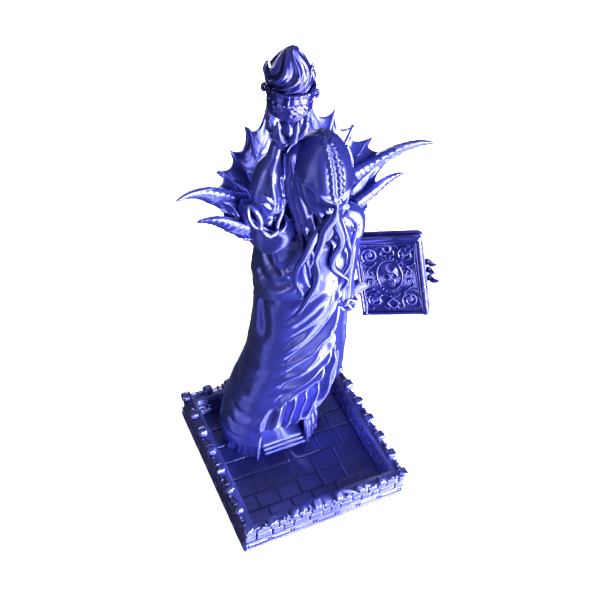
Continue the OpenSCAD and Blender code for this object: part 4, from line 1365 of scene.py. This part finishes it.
def cover_panel():
    """Embossed panel: corner rosettes, scrolls, a crown, a lozenge and a domed mask in an oval."""
    xs, zs = np.linspace(-14.2, 13.2, 210), np.linspace(-19.4, 18.2, 280)
    x, z = np.meshgrid(xs, zs)
    h = 0.06 * fbm(np.stack([x.ravel() * 0.8, z.ravel() * 0.8, 0 * x.ravel()], 1), 2).reshape(x.shape)
    lines = []
    for sx in (-1, 1):
        for sz in (-1, 1):
            cx, cz = sx * 8.4 + COVER_MID, sz * 12.0 - 0.6
            lines.append((spiral(cx, cz, 4.3, 1.3, 90 - 90 * sx * sz + 40, 1.5 * sx * sz), 1.35, 0.62))
            lines.append((spiral(cx, cz, 1.0, 0.3, 0, 1.0, 10), 1.5, 0.5))
            for k in range(7):
                a = math.radians(k * 51 + 20)
                lines.append((np.array([(cx + 2.0 * math.cos(a), cz + 2.0 * math.sin(a)),
                                        (cx + 3.1 * math.cos(a + 0.3), cz + 3.1 * math.sin(a + 0.3))]), 1.0, 0.34))
            for pts, height, width in CORNER_STROKES:
                lines.append((spline([(cx + sx * px, cz + sz * pz) for px, pz in pts], 5), height, width))
        for pts, steps, height, width in SIDE_STROKES:
            lines.append((spline([(COVER_MID + sx * px, pz) for px, pz in pts], steps), height, width))
    a = np.linspace(0, 2 * math.pi, 60)
    lines.append((np.stack([COVER_MID + 6.0 * np.cos(a), 0.8 + 8.0 * np.sin(a)], 1), 1.25, 0.5))
    for k in range(26):
        q = 2 * math.pi * k / 26
        c = np.array([COVER_MID + 7.1 * math.cos(q), 0.8 + 9.1 * math.sin(q)])
        lines.append((np.array([c, c + (0.05, 0)]), 0.95, 0.42))
    for line, height, width in lines:
        h = np.maximum(h, emboss(x, z, line, height, width))
    dx, dz = x + 0.3, z - 2.2
    dome = 1.55 * np.sqrt(np.clip(1 - (dx / 4.2) ** 2 - (dz / 4.9) ** 2, 0, 1))
    jaw = 1.15 * np.sqrt(np.clip(1 - (dx / 2.7) ** 2 - ((dz + 5.0) / 2.9) ** 2, 0, 1))
    mask = np.maximum(dome, jaw)
    for sx in (-1, 1):
        r = np.hypot((dx - sx * 1.75) / 1.15, (dz + 1.7) / 1.2)
        mask = mask - 1.15 * np.exp(-r ** 4) + 0.28 * np.exp(-((r - 1.25) / 0.22) ** 2)
    mask = mask - 0.7 * np.exp(-(dx / 0.45) ** 2 - ((dz + 3.7) / 0.7) ** 2)
    mask = mask - 0.25 * (np.abs(np.sin(dx * 3.4)) < 0.3) * np.exp(-((dz + 5.9) / 0.8) ** 2)
    h = np.maximum(h, mask)
    y = -1.95 - np.clip(h, -0.1, 1.65)
    g = np.stack([x, y, z], -1)
    back = g.copy()
    back[..., 1] = COVER_BACK
    return sheet(g, back)


def bar(a, b, radius, rings, sides):
    """Straight moulding with raised collars at the given shares of its length."""
    a, b = np.array(a, float), np.array(b, float)
    t = np.linspace(0, 1, 90)
    r = np.full(len(t), float(radius))
    for at in rings:
        for shift in (-0.016, 0.016):
            r = r + radius * (1.35 - 1) * np.exp(-((t - at - shift) / 0.008) ** 2)
    return sweep(a + (b - a) * t[:, None], r, sides)


def front_cover():
    """Board, embossed panel, raised bars and corner blocks."""
    w, h = BOOK_W / 2, BOOK_H / 2
    y = -2.95
    parts = [cover_panel(), block((-w, -2.3, -h), (w, COVER_BACK, h), (10, 2, 14), 5, 0.03, 24)]
    for x0, z0, x1, z1, out, radius, rings, sides in (
            (-w + 1.3, h - 1.75, w - 1.5, h - 1.75, 0.2, 1.55, (), 28),
            (-w + 1.0, h - 4.0, w - 3.6, h - 4.0, -0.1, 0.42, (), 20),
            (w - 1.25, -h + 1.4, w - 1.25, h - 1.2, 0.1, 1.1, (0.08, 0.33, 0.72, 0.9), 24),
            (w - 2.95, -h + 1.6, w - 2.95, h - 3.8, 0, 0.4, (), 20),
            (-w + 1.1, -h + 1.3, -w + 1.1, h - 1.4, 0, 0.75, (0.1, 0.36, 0.7, 0.92), 20),
            (-w + 2.5, -h + 1.6, -w + 2.5, h - 3.8, 0.2, 0.32, (), 20),
            (-w + 1, -h + 0.9, w - 1.2, -h + 0.9, 0.15, 0.7, (), 20)):
        parts.append(bar((x0, y + out, z0), (x1, y + out, z1), radius, rings, sides))
    for sx, sz in ((-1, -1), (-1, 1), (1, -1), (1, 1)):
        px, pz = sx * (w - 1.5), sz * (h - 1.5)
        parts.append(block((px - 1.35, y - 0.75, pz - 1.35), (px + 1.35, y + 1.1, pz + 1.35),
                           (6, 5, 6), 3, 0.04, 6))
    return on_book(join(parts))


def book_pages():
    """Block of uneven leaves."""
    w, h = BOOK_W / 2 - 1, BOOK_H / 2 - 1
    rng = np.random.default_rng(2)
    parts = []
    n = 11
    for k in range(n):
        y = -1.68 + 3.36 * k / n
        cut = rng.uniform(0, 0.35, 3)
        parts.append(block((-w, y, -h + cut[0]), (w - cut[1], y + 3.36 / n - 0.03, h - cut[2]),
                           (6, 1, 8), k + 1, 0.02, 16))
    return on_book(join(parts))


def back_cover():
    """Board, ribbed spine, corner plates and a centre plate."""
    w, h = BOOK_W / 2, BOOK_H / 2
    parts = [block((-w, 1.72, -h), (w, 3.65, h), (24, 4, 30), 9, 0.05, 16)]
    spine = np.stack([np.full(60, -w + 1.15), np.full(60, 0.6), np.linspace(-h + 0.9, h - 0.9, 60)], 1)
    t = np.linspace(0, 1, 60)
    r = 1.12 + 0.2 * sum(np.exp(-((t - c) / 0.018) ** 2) for c in (0.14, 0.38, 0.62, 0.86)) - 0.1
    parts.append(sweep(spine, r, 24, None, 2.1, (0.001, 1, 0)))
    for sx, sz in ((-1, -1), (-1, 1), (1, -1), (1, 1)):
        px, pz = sx * (w - 3.2), sz * (h - 3.2)
        parts.append(block((px - 2.6, 3.2, pz - 2.6), (px + 2.6, 3.72, pz + 2.6), (8, 3, 8), 4, 0.03, 5))
    parts.append(block((-4.4, 3.2, -6.4), (4.4, 3.72, 6.4), (12, 3, 14), 6, 0.03, 2.4))
    return on_book(join(parts))


def hand_left():
    """Hand behind the book: palm, thumb and three claws that curl round its far edge."""
    w = BOOK_W / 2
    wrist = (np.array([(24.5, 1.2, 121.5), (29, 1.5, 124.5)]) - BOOK_AT) @ TURN
    parts = []
    palm = [tuple(wrist[0]), tuple(wrist[1]), (-3, 6.2, -6), (3, 6.0, -3.4), (8, 5.6, -1.4)]
    parts.append(limb(palm, 8, [0, 0.4, 0.8, 1], [3.0, 2.9, 2.9, 2.2], 24, None, 1.15))
    for z1, out in ((3.6, 5.8), (-0.7, 4.6), (-5.0, 6.4)):
        p = spline([(5, 6.2, -3 + 0.5 * z1), (11, 5.9, z1 * 0.8), (w + 0.6, 4.4, z1), (w + 2.2, 1.6, z1 + 0.3),
                    (w + out - 1.8, -0.6, z1 + 0.9), (w + out, -1.2, z1 + 1.2)], 8)
        d = np.linspace(0, 1, len(p))
        knob = 0.25 * np.exp(-((d - 0.38) / 0.06) ** 2) + 0.2 * np.exp(-((d - 0.62) / 0.05) ** 2)
        parts.append(sweep(p, np.interp(d, [0, 0.62, 0.8, 1], [1.6, 1.15, 0.95, 0.22]) + knob, 14))
    thumb = spline([(-6, 6.5, -10), (-2, 6.4, -14), (4, 5.6, -17), (9, 4.8, -18)], 8)
    parts.append(sweep(thumb, np.linspace(1.7, 0.5, len(thumb)), 14))
    return on_book(fuse(parts, 0.36, 2))


make("sleeve_book", sleeve_left(), CLOTH, "tower", ["left_sleeve"])
make("hand_book", hand_left(), SKIN, "tower", ["left_hand"])
make("book_front", front_cover(), ORNAMENT, "tower", ["book_front_cover"])
# The leaves take the darker copy of the filament: painted shade between the covers.
make("book_leaves", book_pages(), INNER_PAINTED_SHADE, "tower", ["book_pages"])
make("book_back", back_cover(), ORNAMENT, "tower", ["book_back_cover"])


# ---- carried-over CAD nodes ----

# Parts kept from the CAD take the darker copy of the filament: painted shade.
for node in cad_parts.values():
    if not node.hide_render:
        node.data.materials.clear()
        node.data.materials.append(INNER_PAINTED_SHADE)


# ---- camera, light and floor ----

def aim_light(name, at, target, size, power, color=(1, 1, 1)):
    """Rectangular lamp at a place, turned to its target."""
    data = bpy.data.lights.new(name, "AREA")
    data.shape = "RECTANGLE"
    data.size, data.size_y = size
    data.energy = power
    data.color = color
    data.spread = math.pi
    ob = bpy.data.objects.new(name, data)
    scene.collection.objects.link(ob)
    ob.location = at
    ob.rotation_euler = (Vector(target) - Vector(at)).to_track_quat("-Z", "Y").to_euler()


camera = bpy.data.objects.new("camera", bpy.data.cameras.new("camera"))
scene.collection.objects.link(camera)
camera.location = (-0.14604, -0.24403, 0.42029)
camera.rotation_euler = Euler([math.radians(a) for a in (43.661, -4.774, -25.040)])
camera.data.sensor_width = 36
camera.data.lens = 53.06
camera.data.clip_start = 0.01
scene.camera = camera


def from_angle(azimuth, elevation, distance, height=0.1):
    """A place round the object: azimuth from the front, positive to the viewer's right."""
    a, e = math.radians(azimuth), math.radians(elevation)
    return (distance * math.cos(e) * math.sin(a), -distance * math.cos(e) * math.cos(a),
            height + distance * math.sin(e))


aim_light("window", from_angle(4, 7, 0.85), (0, 0, 0.1), (0.22, 0.26), 22)
aim_light("side_window", from_angle(38, 7, 0.85), (0, 0, 0.1), (0.34, 0.26), 48)
aim_light("left_window", from_angle(-72, 14, 0.9), (0, 0, 0.15), (0.3, 0.4), 2.2, (0.93, 0.95, 1))
aim_light("back_window", from_angle(178, 6, 0.9), (0, 0, 0.12), (0.5, 0.3), 6, (0.95, 0.96, 1))
aim_light("ceiling", (-0.05, 0.1, 1.1), (0, 0, 0.1), (0.8, 0.8), 2.4, (0.95, 0.96, 1))

world = bpy.data.worlds.new("world")
scene.world = world
world.use_nodes = True
sky = world.node_tree.nodes["Background"]
sky.inputs["Color"].default_value = (0.93, 0.95, 1, 1)
sky.inputs["Strength"].default_value = 0.12

floor_mesh = bpy.data.meshes.new("floor")
floor_mesh.from_pydata([(-3, -3, -0.0004), (3, -3, -0.0004), (3, 3, -0.0004), (-3, 3, -0.0004)], [], [(0, 1, 2, 3)])
floor = bpy.data.objects.new("floor", floor_mesh)
scene.collection.objects.link(floor)
paper = bpy.data.materials.new("paper")
paper.use_nodes = True
for key, value in (("Base Color", (0.95, 0.95, 0.96, 1)), ("Roughness", 0.9),
                   ("Emission Color", (1, 1, 1, 1)), ("Emission Strength", 0.85)):
    paper.node_tree.nodes["Principled BSDF"].inputs[key].default_value = value
floor_mesh.materials.append(paper)
floor.visible_diffuse = False
floor.visible_glossy = False

scene.view_settings.view_transform = "Standard"
